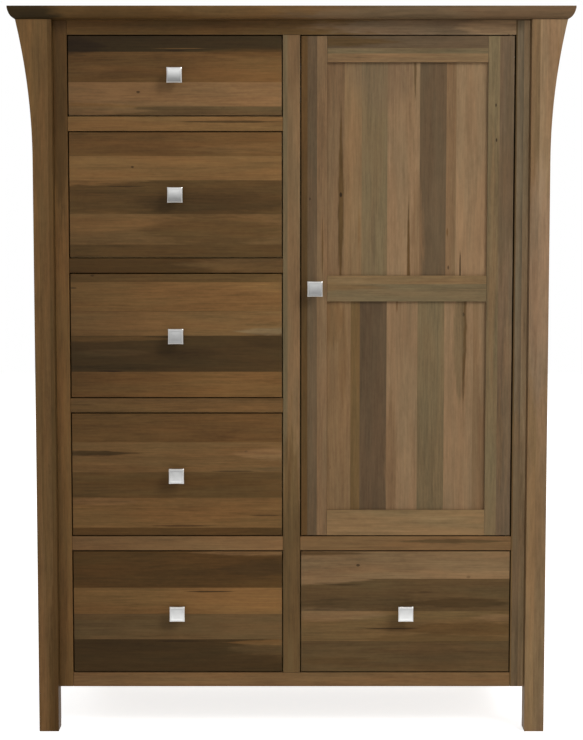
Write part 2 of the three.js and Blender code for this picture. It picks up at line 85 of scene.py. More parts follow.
class ChifforobeSizes(bpy.types.PropertyGroup):
    """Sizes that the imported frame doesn't give."""

    edge_ease: length("Edge easing", "How far the edges of the boards are rounded", 0.0009)
    joint_gap: length("Joint gap", "Clearance between boards that meet", 0.0003)
    top_land: length("Top edge", "Height of the upright band along the top's edge", 0.003)
    leg_width: length("Leg width", "Width of a leg below its flare", 0.0413)
    flare_height: length("Flare height", "Height over which the legs lean out", 0.29)
    groove_depth: length("Groove depth", "Depth of the grooves that hold the door's panels", 0.0095)
    box_wall: length("Drawer wall", "Thickness of a drawer box's sides", 0.0127)
    box_floor: length("Drawer bottom", "Thickness of a drawer box's bottom", 0.0064)
    box_floor_raise: length("Drawer bottom height", "How far a drawer's bottom lies above its edge", 0.0105)
    pin_width: length("Dovetail pin", "Width of a dovetail pin at its narrow end", 0.011)
    tail_pitch: length("Dovetail spacing", "Distance from one dovetail pin to the next", 0.043)
    knob_width: length("Knob width", "Width of a knob's square head", 0.03175)
    knob_bow: length("Knob bow", "How far the sides of a knob's head are drawn in", 0.0003)
    knob_rim: length("Knob rim", "Width of the rounded rim of a knob's head", 0.0034)
    knob_rim_drop: length("Knob rim drop", "How far a knob's rim falls back at its edge", 0.0014)
    knob_dish: length("Knob ledge", "How far the middle of a knob's head starts below its crown", 0.0007)
    knob_head: length("Knob head", "Thickness of a knob's head", 0.009)
    knob_foot_radius: length("Knob foot", "Radius of a knob's foot", 0.0085)
    knob_neck_radius: length("Knob neck", "Radius of a knob's neck at its narrowest", 0.0055)
    screw_radius: length("Screw", "Radius of the screws that hold the knobs", 0.002)
    screw_head_radius: length("Screw head", "Radius of a screw's head", 0.0045)


class ChifforobeTones(bpy.types.PropertyGroup):
    """Colours of the woods and metals."""

    charcoal: tone("Charcoal", "Darkest board of the first drawer", "302412")
    near_black: tone("Near black", "Very dark boards, olive black", "3b2c17")
    umber: tone("Umber", "Very dark brown boards", "4c361b")
    dark: tone("Dark brown", "Dark boards", "543e22")
    dark_olive: tone("Dark olive", "Dark boards with a green cast", "57442a")
    reddish: tone("Reddish brown", "Boards with a red cast", "604526")
    brown: tone("Brown", "Boards of a middle brown", "664c2d")
    olive_brown: tone("Olive brown", "Middle boards with a green cast", "685132")
    tan: tone("Tan", "Boards between brown and gold", "6d502e")
    golden: tone("Golden", "Boards with a yellow cast", "735532")
    honey: tone("Honey", "Light golden boards", "775a3a")
    olive: tone("Olive", "Boards with a green grey cast", "6f5e43")
    drab: tone("Drab", "Dull dark brown boards", "58442a")
    dusk: tone("Dusk", "Darkest boards with a grey cast", "5a4834")
    stone: tone("Stone", "Middle boards, green grey", "6b5c47")
    # Partly a lighter board and partly painted light, which offsets the shadow that the right leg casts on
    # the frame's right stile
    cream_and_painted_light: tone("Cream", "Light strip along the right edge of the frame", "967e5f")
    grey: tone("Grey", "Dark boards with a grey cast", "5e4c37")
    grey_brown: tone("Grey brown", "Middle boards with a grey cast", "685540")
    fawn: tone("Fawn", "Soft brown boards", "755c41")
    light: tone("Light", "Light brown boards", "7c6244")
    straw: tone("Straw", "Light yellow brown boards", "7e6545")
    pinkish: tone("Pinkish", "Light boards with a pink cast", "856b4e")
    pale: tone("Pale", "Lightest boards, pinkish grey", "8b725a")
    mineral: tone("Mineral streak", "Knots and thin dark streaks", "24180c")
    case: tone("Inner wood", "Unstained boards inside the case", "a88b63")
    box: tone("Drawer wood", "Clear finished boards of the drawer boxes", "c9ab7c")
    nickel: tone("Nickel", "Satin nickel of the knobs", "a9a9a8")
    # Painted highlight: the brighter tone given to the knobs' rims
    nickel_painted_highlight: tone("Nickel rim", "Brighter rims of the knobs", "c8c4be")
    steel: tone("Steel", "Zinc plated steel", "b4b3b0")
    # Partly the pivots' brass and partly painted shade: the tone is darkened so that the pivots look as dark
    # as the shade in the door's gap
    brass_and_painted_shade: tone("Brass", "Dark antique brass of the pivots", "403322")
    plastic: tone("Catch", "Brown plastic of the catch", "3b2b20")
    floor: tone("Floor", "Floor and backdrop", "f2f2f2")


class ChifforobeStudio(bpy.types.PropertyGroup):
    """Camera and lamps."""

    lens: amount("Lens", "Focal length in millimetres", 90.67, min=1.0)
    distance: length("Camera distance", "From the camera to the front of the legs", 3.884)
    camera_height: length("Camera height", "Height of the camera above the floor", 1.1244)
    tilt: amount("Tilt", "How far the camera looks down", math.radians(5.17), subtype="ANGLE")
    key_power: power("Key lamp", "Power of the large lamp above on the right", 198.0)
    fill_power: power("Fill lamp", "Power of the soft lamp in front", 94.0)
    rear_power: power("Rear lamps", "Power of each lamp behind the case", 130.0)
    world_level: amount("Surrounding light", "Brightness of the light from all round", 0.28, min=0.0)


def sizes():
    """The sizes as they are set in the scene."""
    return bpy.context.scene.chifforobe_sizes


def tones():
    """The colours as they are set in the scene."""
    return bpy.context.scene.chifforobe_tones


# Boards as they lie in each glued piece: a tone and a width in metres, and a last board that fills the rest
# Drawer fronts, from the top down
FRONT_BOARDS = {
    1: [("charcoal", 0.0328), ("reddish", 0.0629), ("honey", 0.0498), ("drab", 0)],
    2: [("reddish", 0.0494), ("golden", 0.0502), ("dark", 0.0703), ("brown", 0.0643), ("dark", 0)],
    3: [("dark", 0.0182), ("tan", 0.0605), ("brown", 0.0518), ("near_black", 0.0762), ("reddish", 0)],
    4: [("reddish", 0.061), ("brown", 0.0642), ("dark", 0.0547), ("tan", 0.0641), ("umber", 0)],
    5: [("umber", 0.0783), ("tan", 0.0573), ("drab", 0.0546), ("near_black", 0)],
    6: [("light", 0.0593), ("dark_olive", 0.0696), ("olive_brown", 0.0657), ("drab", 0)],
}
# Door members and panels, from left to right
DOOR_BOARDS = {
    "door_lock_stile": [("dark", 0.013), ("grey", 0.0198), ("fawn", 0)],
    "door_hinge_stile": [("olive", 0.0241), ("grey_brown", 0)],
    "door_upper_panel": [
        ("fawn", 0.0455), ("light", 0.0347), ("olive", 0.0544), ("pinkish", 0.068), ("grey", 0.0542),
        ("fawn", 0.0211), ("pinkish", 0),
    ],
    "door_lower_panel": [
        ("light", 0.0584), ("olive_brown", 0.019), ("dusk", 0.057), ("pinkish", 0.0655), ("olive", 0.0556),
        ("pinkish", 0.0615), ("fawn", 0),
    ],
}
# Rails of the door, from the bottom up
DOOR_RAIL_BOARDS = {
    "door_bottom_rail": [("straw", 0)],
    "door_middle_rail": [("olive", 0.0364), ("straw", 0)],
    "door_top_rail": [("light", 0.0175), ("olive", 0.011), ("dusk", 0)],
}
# Knots, streaks and patches of other tones, pointed along the grain. Each has a tone, its place along the
# grain and across it from the piece's low corner, its half length and half width, and its strength.
MARKS = {
    "drawer_1_front": [
        ("mineral", 0.224, 0.1334, 0.027, 0.0016, 0.9), ("golden", 0.233, 0.1377, 0.066, 0.001, 0.5),
        ("mineral", 0.145, 0.0482, 0.005, 0.0031, 0.7), ("golden", -0.005, 0.0179, 0.189, 0.0103, 1),
        ("dark", 0.124, 0.0016, 0.054, 0.0029, 0.8), ("umber", 0.4, 0.13, 0.16, 0.009, 0.6),
        ("mineral", 0.0, 0.142, 0.09, 0.024, 0.65), ("honey", 0.03, 0.01, 0.17, 0.012, 0.7),
        ("tan", 0.02, 0.094, 0.09, 0.018, 0.6),
    ],
    "drawer_2_front": [
        ("golden", -0.007, 0.1588, 0.182, 0.0129, 1), ("mineral", 0.132, 0.1879, 0.004, 0.0029, 0.7),
        ("mineral", 0.116, 0.1476, 0.046, 0.0019, 0.6), ("umber", 0.36, 0.0605, 0.17, 0.013, 0.4),
        ("mineral", 0.185, 0.0548, 0.05, 0.0023, 0.7), ("near_black", 0.3, 0.1131, 0.2, 0.034, 0.6),
        ("dark", 0.3, 0.055, 0.18, 0.045, 0.85), ("golden", 0.05, 0.072, 0.14, 0.03, 0.5),
        ("golden", 0.398, 0.2252, 0.177, 0.0145, 0.5), ("dark", 0.096, 0.2231, 0.103, 0.0124, 0.35),
    ],
    "drawer_3_front": [
        ("dark", 0.002, 0.1238, 0.26, 0.0084, 0.8), ("mineral", 0.046, 0.2564, 0.005, 0.0025, 0.7),
        ("mineral", 0.005, 0.2302, 0.01, 0.0023, 0.6), ("mineral", 0.084, 0.0549, 0.035, 0.0021, 1),
        ("dark", 0.425, 0.1545, 0.017, 0.0055, 0.35), ("mineral", 0.209, 0.1811, 0.23, 0.0013, 0.3),
        ("charcoal", 0.44, 0.122, 0.1, 0.022, 0.6), ("charcoal", 0.12, 0.064, 0.14, 0.008, 0.7),
        ("olive", 0.42, 0.139, 0.09, 0.009, 0.7), ("umber", 0.15, 0.043, 0.2, 0.011, 0.35),
        ("charcoal", 0.25, 0.092, 0.08, 0.016, 0.5), ("dark_olive", 0.08, 0.094, 0.1, 0.01, 0.3),
    ],
    "drawer_4_front": [
        ("near_black", 0.038, 0.1755, 0.121, 0.007, 0.95), ("mineral", 0.368, 0.1787, 0.005, 0.0032, 0.7),
        ("dark_olive", 0.446, 0.1418, 0.072, 0.0073, 0.7), ("mineral", 0.344, 0.1369, 0.059, 0.0021, 0.6),
        ("umber", 0.22, 0.112, 0.24, 0.018, 0.6),
        ("honey", 0.05, 0.072, 0.12, 0.01, 0.5), ("honey", 0.42, 0.174, 0.09, 0.015, 0.9),
        ("mineral", 0.408, 0.0425, 0.042, 0.0019, 0.6), ("dark", 0.355, 0.0326, 0.093, 0.0054, 0.35),
        ("mineral", 0.234, 0.0202, 0.08, 0.0028, 0.6),
    ],
    "drawer_5_front": [
        ("near_black", 0.414, 0.2219, 0.132, 0.0194, 0.7), ("mineral", 0.288, 0.1731, 0.068, 0.0019, 0.8),
        ("reddish", 0.446, 0.0627, 0.137, 0.0078, 1), ("mineral", 0.226, 0.0661, 0.072, 0.0026, 0.6),
        ("dark", 0.077, 0.116, 0.127, 0.0065, 0.35), ("dark_olive", 0.43, 0.05, 0.12, 0.022, 0.45),
        ("honey", 0.4, 0.257, 0.17, 0.008, 0.7),
    ],
    "drawer_6_front": [
        ("dark", 0.0, 0.2555, 0.166, 0.0052, 0.8), ("light", -0.007, 0.1982, 0.179, 0.0121, 1),
        ("mineral", 0.121, 0.2297, 0.005, 0.0037, 0.7), ("mineral", 0.356, 0.2047, 0.006, 0.0035, 0.35),
        ("mineral", 0.089, 0.1876, 0.051, 0.0017, 0.6), ("near_black", 0.339, 0.1485, 0.137, 0.0151, 0.7),
        ("dark", 0.36, 0.0922, 0.211, 0.0184, 0.8), ("mineral", 0.194, 0.093, 0.069, 0.0024, 0.7),
        ("mineral", 0.264, 0.1723, 0.021, 0.0019, 0.5), ("light", 0.05, 0.124, 0.16, 0.018, 0.7),
        ("dark", 0.3, 0.071, 0.22, 0.012, 0.6), ("umber", 0.05, 0.024, 0.14, 0.01, 0.35),
        ("light", 0.42, 0.117, 0.06, 0.009, 0.5),
    ],
    "door_lock_stile": [
        ("dark", 0.609, 0.0445, 0.071, 0.0023, 0.8), ("mineral", 0.711, 0.0182, 0.004, 0.0025, 0.6),
    ],
    "door_hinge_stile": [
        ("mineral", 0.905, 0.0162, 0.005, 0.0021, 0.8), ("mineral", 0.833, 0.0182, 0.005, 0.0023, 0.8),
        ("grey", 0.437, 0.0418, 0.19, 0.0085, 0.3), ("grey", 0.8, 0.046, 0.26, 0.016, 0.7),
        ("pinkish", 0.3, 0.046, 0.24, 0.014, 0.4), ("light", 0.58, 0.012, 0.3, 0.011, 0.5),
        ("grey", 0.69, 0.031, 0.2, 0.012, 0.9), ("fawn", 0.2, 0.031, 0.13, 0.008, 0.7),
    ],
    "door_upper_panel": [
        ("dark", 0.161, 0.0378, 0.221, 0.0078, 0.95), ("mineral", 0.178, 0.0382, 0.006, 0.0036, 0.9),
        ("dark", 0.038, 0.1804, 0.147, 0.004, 0.95), ("dark", 0.038, 0.1976, 0.031, 0.0019, 0.7),
        ("dark", 0.453, 0.1922, 0.086, 0.0036, 0.8), ("mineral", 0.021, 0.2886, 0.05, 0.0023, 0.85),
        ("reddish", 0.1, 0.2613, 0.01, 0.0025, 0.8), ("mineral", 0.026, 0.2638, 0.006, 0.0025, 0.7),
        ("golden", 0.109, 0.0763, 0.054, 0.0029, 0.5), ("grey", 0.084, 0.1057, 0.126, 0.0063, 0.4),
        ("fawn", 0.08, 0.199, 0.17, 0.016, 0.85), ("grey_brown", 0.44, 0.12, 0.11, 0.09, 0.45),
    ],
    "door_lower_panel": [
        ("dark", 0.413, 0.2974, 0.194, 0.0076, 0.9), ("mineral", 0.424, 0.2963, 0.006, 0.003, 1),
        ("reddish", 0.446, 0.1567, 0.021, 0.0021, 0.7), ("dark", 0.205, 0.1421, 0.034, 0.0019, 0.6),
        ("reddish", 0.339, 0.0434, 0.127, 0.0127, 0.3), ("olive", 0.38, 0.287, 0.17, 0.014, 0.8),
        ("fawn", 0.12, 0.145, 0.18, 0.016, 0.8), ("pinkish", 0.38, 0.337, 0.2, 0.012, 0.7),
        ("brown", 0.42, 0.02, 0.08, 0.03, 0.5),
    ],
    "door_top_rail": [("dark", 0.011, 0.0423, 0.166, 0.0133, 0.85)],
    "door_middle_rail": [("golden", 0.008, 0.03, 0.139, 0.0101, 0.45)],
    "drawer_rail_1": [("near_black", 0.34, 0.0195, 0.13, 0.003, 0.8)],
    "drawer_rail_2": [("brown", 0.45, 0.016, 0.25, 0.03, 0.8)],
    "drawer_rail_3": [
        ("golden", 0.2, 0.01, 0.3, 0.012, 0.7), ("dark", 0.4, 0.027, 0.09, 0.0032, 0.8),
        ("dark", 0.02, 0.0165, 0.035, 0.0016, 0.6),
    ],
    "door_rail": [("dark_olive", 0.32, 0.0195, 0.15, 0.0055, 0.9)],
    # The charcoal patch at the left end of the top's front edge is painted shade
    "top_board": [
        ("umber", 0.06, 0.008, 0.4, 0.03, 0.65), ("charcoal", 0.0, 0.008, 0.13, 0.03, 1),
        ("grey_brown", 1.0, 0.008, 0.5, 0.03, 0.7),
    ],
    "top_rail": [
        ("umber", 0.1, 0.015, 0.44, 0.04, 0.75), ("grey_brown", 0.9, 0.015, 0.4, 0.04, 0.9),
        ("pinkish", 0.97, 0.015, 0.13, 0.04, 0.8),
    ],
    "right_stile": [("brown", 0.2, 0.01, 0.5, 0.03, 0.4)],
    # Painted shade on the left stile: the umber patch near its top, in the shadow of the top board, and the
    # dark patch along the leg beside it
    "left_stile": [("umber", 1.36, 0.014, 0.42, 0.04, 0.8), ("dark", 0.25, 0.005, 0.3, 0.02, 0.5)],
    "centre_stile": [("olive_brown", 0.12, 0.018, 0.5, 0.05, 0.95)],
    "front_left_leg": [
        ("golden", 1.3, 0.03, 0.3, 0.01, 0.6), ("dark", 0.62, 0.047, 0.5, 0.0025, 0.5),
        ("honey", 0.2, 0.0435, 0.36, 0.009, 0.45), ("umber", 0.05, 0.066, 0.32, 0.014, 0.75),
    ],
    "front_right_leg": [
        ("golden", 1.3, 0.055, 0.2, 0.004, 0.4), ("straw", 0.3, 0.02, 0.4, 0.03, 0.6),
        ("pale", 0.95, 0.02, 0.3, 0.05, 0.6),
    ],
}

# How light a piece is at the low end of its grain and at the high end, as shares of its boards' tones. This
# is partly the boards' own tone and partly painted light and shade: the drawer fronts and rails are painted
# darker towards their left ends, and the top rail and the right stile are painted lighter against the shadow
# that falls on them
PAINTED_LIGHT_LIFTS = {
    "drawer_1_front": (0.77, 1.3), "drawer_2_front": (0.92, 1.06), "drawer_3_front": (0.83, 1.44),
    "drawer_4_front": (1.0, 1.1), "drawer_5_front": (0.93, 1.32), "drawer_6_front": (1.0, 1.1),
    "drawer_rail_1": (0.81, 1.16), "drawer_rail_2": (0.67, 0.95), "drawer_rail_3": (0.76, 1.13),
    "drawer_rail_4": (0.75, 0.95), "door_rail": (0.89, 0.89), "top_rail": (1.34, 1.22),
    "left_stile": (0.96, 0.92), "right_stile": (1.3, 1.06), "centre_stile": (1.0, 0.84),
    "door_upper_panel": (1.1, 1.03), "door_lower_panel": (1.03, 1.0),
}

# How far a cutter reaches past the face that it cuts, in metres
PAST = 0.01
# How strongly wood reflects
WOOD_SPECULAR = 0.07
# Strength and height of each surface's relief
WOOD_BUMP, METAL_BUMP, PLASTIC_BUMP = (0.25, 0.0002), (0.08, 0.00005), (0.2, 0.0001)
# Grains of the catch's plastic in a metre
PLASTIC_GRAIN = 1800
# Narrowest and widest board of a side panel, in metres
BOARD_WIDTHS = (0.055, 0.105)
# Tints of the slow changes of tone, the mineral lines and the flecks
WARM, COOL = (1.045, 0.99, 0.965), (0.96, 1.005, 1.02)
VEIN, FLECK = (0.5, 0.46, 0.42), (0.7, 0.66, 0.62)
# How far the red and the blue of a board shift its noise
RED_SHIFT, BLUE_SHIFT = 631.0, 977.0
# Noises in the maple: features per metre along and across the grain, detail, roughness and distortion
GRAIN_NOISES = {
    "slow": (4.5, 40.0, 2.0), "broad": (1.8, 9.0, 1.0), "streak": (3.2, 85.0, 4.0, 0.6, 0.25),
    "thread": (13.0, 280.0, 2.0, 0.6, 0.2), "curl": (10.0, 34.0, 3.0, 0.55, 0.4),
    "mottle": (90.0, 250.0, 2.0, 0.6), "fine": (22.0, 800.0, 2.0),
    "line": (2.1, 46.0, 1.0, 0.3, 0.25), "bend": (2.6, 9.0, 1.0), "speck": (60.0, 260.0, 1.0),
}
# How much of each noise lightens or darkens the wood
GRAIN_SHARES = {
    "streak": 0.6, "broad": 0.75, "thread": 0.55, "curl": 0.52, "mottle": 0.32, "fine": 0.5,
}
# Ring lines: their phase in a metre in radians, how far they bow and how much they darken
RING_PITCH, RING_BOW, RING_SHARE = 560.0, 95.0, 0.02


# Shader nodes


def fill(tree, made, inputs):
    """Joins a node's inputs, by name or number, to sockets or gives them values."""
    for place, given in inputs.items():
        if isinstance(given, bpy.types.NodeSocket):
            tree.links.new(given, made.inputs[place])
        else:
            made.inputs[place].default_value = given


def node(tree, kind, inputs=None, **settings):
    """A new node with its settings and its inputs."""
    made = tree.nodes.new(kind)
    for key, value in settings.items():
        setattr(made, key, value)
    fill(tree, made, inputs or {})
    return made


def value_of(tree, operation, *given):
    """The output of a Math node, whose inputs are sockets or numbers."""
    return node(tree, "ShaderNodeMath", dict(enumerate(given)), operation=operation).outputs[0]


def vector_of(tree, operation, first, second):
    """The output of a Vector Math node."""
    return node(tree, "ShaderNodeVectorMath", {0: first, 1: second}, operation=operation).outputs[0]


def parts_of(tree, vector):
    """The three parts of a vector."""
    return node(tree, "ShaderNodeSeparateXYZ", {0: vector}).outputs


def mixed(tree, blend, factor, first, second):
    """The output of a colour Mix node, whose inputs are sockets or colours."""
    given = {0: factor}
    for place, colour in ((6, first), (7, second)):
        given[place] = colour if isinstance(colour, bpy.types.NodeSocket) else (*colour, 1)
    return node(tree, "ShaderNodeMix", given, data_type="RGBA", blend_type=blend).outputs[2]


def stretched_noise(tree, vector, seed, along, across, detail, roughness=0.5, distortion=0.0):
    """Noise drawn out along the grain: features per metre along it and across it."""
    inputs = {
        "Vector": vector_of(tree, "MULTIPLY", vector, (along, across, across)), "W": seed,
        "Scale": 1, "Detail": detail, "Roughness": roughness, "Distortion": distortion,
    }
    return node(tree, "ShaderNodeTexNoise", inputs, noise_dimensions="4D", normalize=True).outputs["Fac"]


def ramp_of(tree, factor, low, high):
    """A smooth step from 0 at one value to 1 at another."""
    inputs = {"Value": factor, "From Min": low, "From Max": high}
    return node(tree, "ShaderNodeMapRange", inputs, interpolation_type="SMOOTHSTEP").outputs["Result"]


def swung(tree, noise, share, base):
    """A base that a noise raises or lowers about the noise's middle."""
    return value_of(tree, "MULTIPLY_ADD", value_of(tree, "SUBTRACT", noise, 0.5), share, base)


def bump_of(tree, height, strength, distance):
    """A normal that follows a height."""
    inputs = {"Strength": strength, "Distance": distance, "Height": height}
    return node(tree, "ShaderNodeBump", inputs).outputs["Normal"]


def grain_parts(tree, given):
    """The figure of maple: slow changes of tone, streaks along the grain, mineral lines and fine grain."""
    vector, seed, board, figure = given["Vector"], given["Seed"], given["Board"], given["Figure"]
    noise = {word: stretched_noise(tree, vector, seed, *kind) for word, kind in GRAIN_NOISES.items()}

    # Ring lines, which bow where the board was cut across them
    straight = value_of(tree, "MULTIPLY", parts_of(tree, vector)[2], RING_PITCH)
    rings = value_of(tree, "SINE", value_of(tree, "MULTIPLY_ADD", noise["bend"], RING_BOW, straight))

    warm = mixed(tree, "MULTIPLY", 1.0, board, WARM)
    cool = mixed(tree, "MULTIPLY", 1.0, board, COOL)
    toned = mixed(tree, "MIX", ramp_of(tree, noise["slow"], 0.33, 0.67), cool, warm)
    varied = mixed(tree, "MIX", value_of(tree, "MULTIPLY", figure, 0.9), board, toned)

    total = 1.0
    for word, share in GRAIN_SHARES.items():
        total = swung(tree, noise[word], share, total)
    total = value_of(tree, "MULTIPLY_ADD", rings, RING_SHARE, total)
    soft = value_of(tree, "MULTIPLY_ADD", value_of(tree, "SUBTRACT", total, 1.0), figure, 1.0)
    shade = node(tree, "ShaderNodeCombineColor", {0: soft, 1: soft, 2: soft}).outputs[0]
    shaded = mixed(tree, "MULTIPLY", 1.0, varied, shade)

    veins = value_of(tree, "MULTIPLY", ramp_of(tree, noise["line"], 0.7, 0.77), given["Mineral"])
    veined = mixed(tree, "MULTIPLY", veins, shaded, VEIN)
    flecks = value_of(tree, "MULTIPLY", ramp_of(tree, noise["speck"], 0.74, 0.84), 0.5)
    coarse = value_of(tree, "MULTIPLY", noise["streak"], 0.4)
    return {
        "Color": mixed(tree, "MULTIPLY", flecks, veined, FLECK),
        "Roughness": value_of(tree, "MULTIPLY_ADD", noise["streak"], 0.1, 0.42),
        "Height": value_of(tree, "MULTIPLY_ADD", noise["fine"], 0.6, coarse),
    }


def mark_parts(tree, given):
    """A pointed dark streak or a knot on the wood: a lens about a point, long along the grain."""
    vector, half_length = given["Vector"], given["Half Length"]
    parts = parts_of(tree, vector_of(tree, "SUBTRACT", vector, given["Centre"]))
    ragged = stretched_noise(tree, vector, half_length, 30.0, 220.0, 2.0)
    along = value_of(tree, "DIVIDE", parts[0], half_length)
    across = value_of(tree, "DIVIDE", parts[2], given["Half Width"])
    narrowing = value_of(tree, "MULTIPLY", along, along)
    reach = value_of(tree, "ADD", value_of(tree, "ABSOLUTE", across), narrowing)
    inside = value_of(tree, "SUBTRACT", 1.0, ramp_of(tree, swung(tree, ragged, 0.9, reach), 0.45, 1.05))
    return {"Mask": value_of(tree, "MULTIPLY", inside, given["Strength"])}


def brushing_parts(tree, given):
    """Fine brushing of satin metal, in its roughness and its height."""
    brushed = stretched_noise(tree, given["Vector"], given["Seed"], 300.0, 6000.0, 2.0)
    cloudy = stretched_noise(tree, given["Vector"], given["Seed"], 90.0, 90.0, 2.0)
    rough = swung(tree, cloudy, 0.08, swung(tree, brushed, 0.12, given["Level"]))
    return {"Roughness": rough, "Height": brushed}


def painted_reflection_parts(tree, given):
    """How far a place lies towards the lower edge of a knob, and how near to its rim: the masks of a knob's
    painted reflection and its painted highlight.
    """
    parts = parts_of(tree, vector_of(tree, "SUBTRACT", given["Vector"], given["Centre"]))
    height, aside = (value_of(tree, "DIVIDE", parts[axis], given["Half Width"]) for axis in (2, 0))
    outward = value_of(tree, "MAXIMUM", *(value_of(tree, "ABSOLUTE", part) for part in (height, aside)))
    return {
        "Fall": value_of(tree, "SUBTRACT", 1.0, ramp_of(tree, height, -0.95, 1.0)),
        "Rim": ramp_of(tree, outward, 0.8, 0.95),
    }


# The shared node groups: what fills them, their inputs' kinds and defaults, and their outputs' kinds
GROUPS = {
    "Maple grain": (
        grain_parts,
        {
            "Vector": ("Vector", (0, 0, 0)), "Board": ("Color", (0.2, 0.12, 0.06, 1)),
            "Seed": ("Float", 0.0), "Figure": ("Float", 1.0), "Mineral": ("Float", 1.0),
        },
        {"Color": "Color", "Roughness": "Float", "Height": "Float"},
    ),
    "Wood mark": (
        mark_parts,
        {
            "Vector": ("Vector", (0, 0, 0)), "Centre": ("Vector", (0, 0, 0)),
            "Half Length": ("Float", 0.1), "Half Width": ("Float", 0.005), "Strength": ("Float", 1.0),
        },
        {"Mask": "Float"},
    ),
    "Satin brushing": (
        brushing_parts,
        {"Vector": ("Vector", (0, 0, 0)), "Seed": ("Float", 0.0), "Level": ("Float", 0.3)},
        {"Roughness": "Float", "Height": "Float"},
    ),
    "Knob fall": (
        painted_reflection_parts,
        {
            "Vector": ("Vector", (0, 0, 0)), "Centre": ("Vector", (0, 0, 0)),
            "Half Width": ("Float", 0.016),
        },
        {"Fall": "Float", "Rim": "Float"},
    ),
}


def new_group(name):
    """One of the shared node groups, with its named sockets."""
    build, inputs, outputs = GROUPS[name]
    tree = bpy.data.node_groups.new(name, "ShaderNodeTree")
    for label, (kind, default) in inputs.items():
        socket = tree.interface.new_socket(name=label, in_out="INPUT", socket_type=f"NodeSocket{kind}")
        socket.default_value = default
    for label, kind in outputs.items():
        tree.interface.new_socket(name=label, in_out="OUTPUT", socket_type=f"NodeSocket{kind}")
    given = node(tree, "NodeGroupInput").outputs
    node(tree, "NodeGroupOutput", build(tree, given))
    return tree


def grouped(tree, name, inputs):
    """The outputs of a shared node group, which is made when it is first asked for."""
    group = bpy.data.node_groups.get(name) or new_group(name)
    return node(tree, "ShaderNodeGroup", inputs, node_tree=group).outputs


def new_material(name):
    """A material with its tree, its shader and the object's own coordinates."""
    made = bpy.data.materials.new(name)
    made.use_nodes = True
    tree = made.node_tree
    shader = tree.nodes["Principled BSDF"]
    return made, tree, shader, node(tree, "ShaderNodeTexCoord").outputs["Object"]


# Which axes run along the grain, into the board and across the boards
GRAIN_AXES = {
    "x_wide_z": (0, 1, 2), "z_wide_x": (2, 1, 0), "z_wide_y": (2, 0, 1),
    "x_wide_y": (0, 2, 1), "y_wide_z": (1, 0, 2),
}


def board_ramp(tree, across, boards, low, high):
    """Colours the boards of a glued piece, laid from low to high across it."""
    reach = node(tree, "ShaderNodeMapRange", {"Value": across, "From Min": low, "From Max": high})
    ramp = node(tree, "ShaderNodeValToRGB", {"Fac": reach.outputs["Result"]})
    ramp.color_ramp.interpolation = "CONSTANT"
    stops = ramp.color_ramp.elements
    start = 0.0
    for count, (word, width) in enumerate(boards):
        stop = stops[count] if count < len(stops) else stops.new(start / (high - low))
        stop.position = start / (high - low)
        stop.color = (*getattr(tones(), word), 1)
        start += width
    while len(stops) > len(boards):
        stops.remove(stops[-1])
    return ramp.outputs["Color"]


def wood(name, grain, boards, node_name, seed, figure=1.0, mineral=0.25):
    """Stained maple of glued boards, laid over a node of the frame from its low side to its high side."""
    made, tree, shader, place = new_material(name)
    lengthwise, _, crosswise = axes = GRAIN_AXES[grain]
    low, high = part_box(node_name)
    parts = parts_of(tree, place)
    laid = node(tree, "ShaderNodeCombineXYZ", {count: parts[axis] for count, axis in enumerate(axes)})
    colour = board_ramp(tree, parts[crosswise], boards, low[crosswise], high[crosswise])

    # Each board has its own figure, because its colour shifts the noise
    channels = node(tree, "ShaderNodeSeparateColor", {0: colour}).outputs
    shift = value_of(tree, "MULTIPLY_ADD", channels[0], RED_SHIFT, seed)
    shift = value_of(tree, "MULTIPLY_ADD", channels[2], BLUE_SHIFT, shift)

    flat = vector_of(tree, "MULTIPLY", laid.outputs[0], (1, 0, 1))
    for word, along, across, half_length, half_width, strength in MARKS.get(node_name, ()):
        mark = grouped(tree, "Wood mark", {
            "Vector": flat, "Centre": (low[lengthwise] + along, 0, low[crosswise] + across),
            "Half Length": half_length, "Half Width": half_width, "Strength": strength,
        })
        colour = mixed(tree, "MIX", mark["Mask"], colour, getattr(tones(), word))

    # Painted light and shade: a gradient of brightness along the piece's grain, partly the boards' own tone
    if node_name in PAINTED_LIGHT_LIFTS:
        first, last = PAINTED_LIGHT_LIFTS[node_name]
        painted_light_scale = node(tree, "ShaderNodeMapRange", {
            "Value": parts[lengthwise], "From Min": low[lengthwise], "From Max": high[lengthwise],
            "To Min": first, "To Max": last,
        })
        inputs = {0: colour, "Scale": painted_light_scale.outputs["Result"]}
        colour = node(tree, "ShaderNodeVectorMath", inputs, operation="SCALE").outputs[0]

    surface = grouped(tree, "Maple grain", {
        "Vector": laid.outputs[0], "Board": colour, "Seed": shift, "Figure": figure, "Mineral": mineral,
    })
    fill(tree, shader, {
        "Base Color": surface["Color"], "Roughness": surface["Roughness"],
        "Specular IOR Level": WOOD_SPECULAR, "Normal": bump_of(tree, surface["Height"], *WOOD_BUMP),
    })
    return made


def random_boards(words, low, high, seed):
    """Boards of random widths and tones that fill a glued piece."""
    chance = random.Random(seed)
    boards, filled, last = [], 0.0, None
    while filled < high - low:
        width = chance.uniform(*BOARD_WIDTHS)
        word = chance.choice([choice for choice in words if choice != last] or words)
        boards.append((word, width))
        filled += width
        last = word
    return boards


def metal(name, word, level, seed):
    """Satin metal of a tone and a roughness."""
    made, tree, shader, place = new_material(name)
    brushing = grouped(tree, "Satin brushing", {"Vector": place, "Seed": seed, "Level": level})
    fill(tree, shader, {
        "Base Color": (*getattr(tones(), word), 1), "Metallic": 1.0, "Roughness": brushing["Roughness"],
        "Normal": bump_of(tree, brushing["Height"], *METAL_BUMP),
    })
    return made


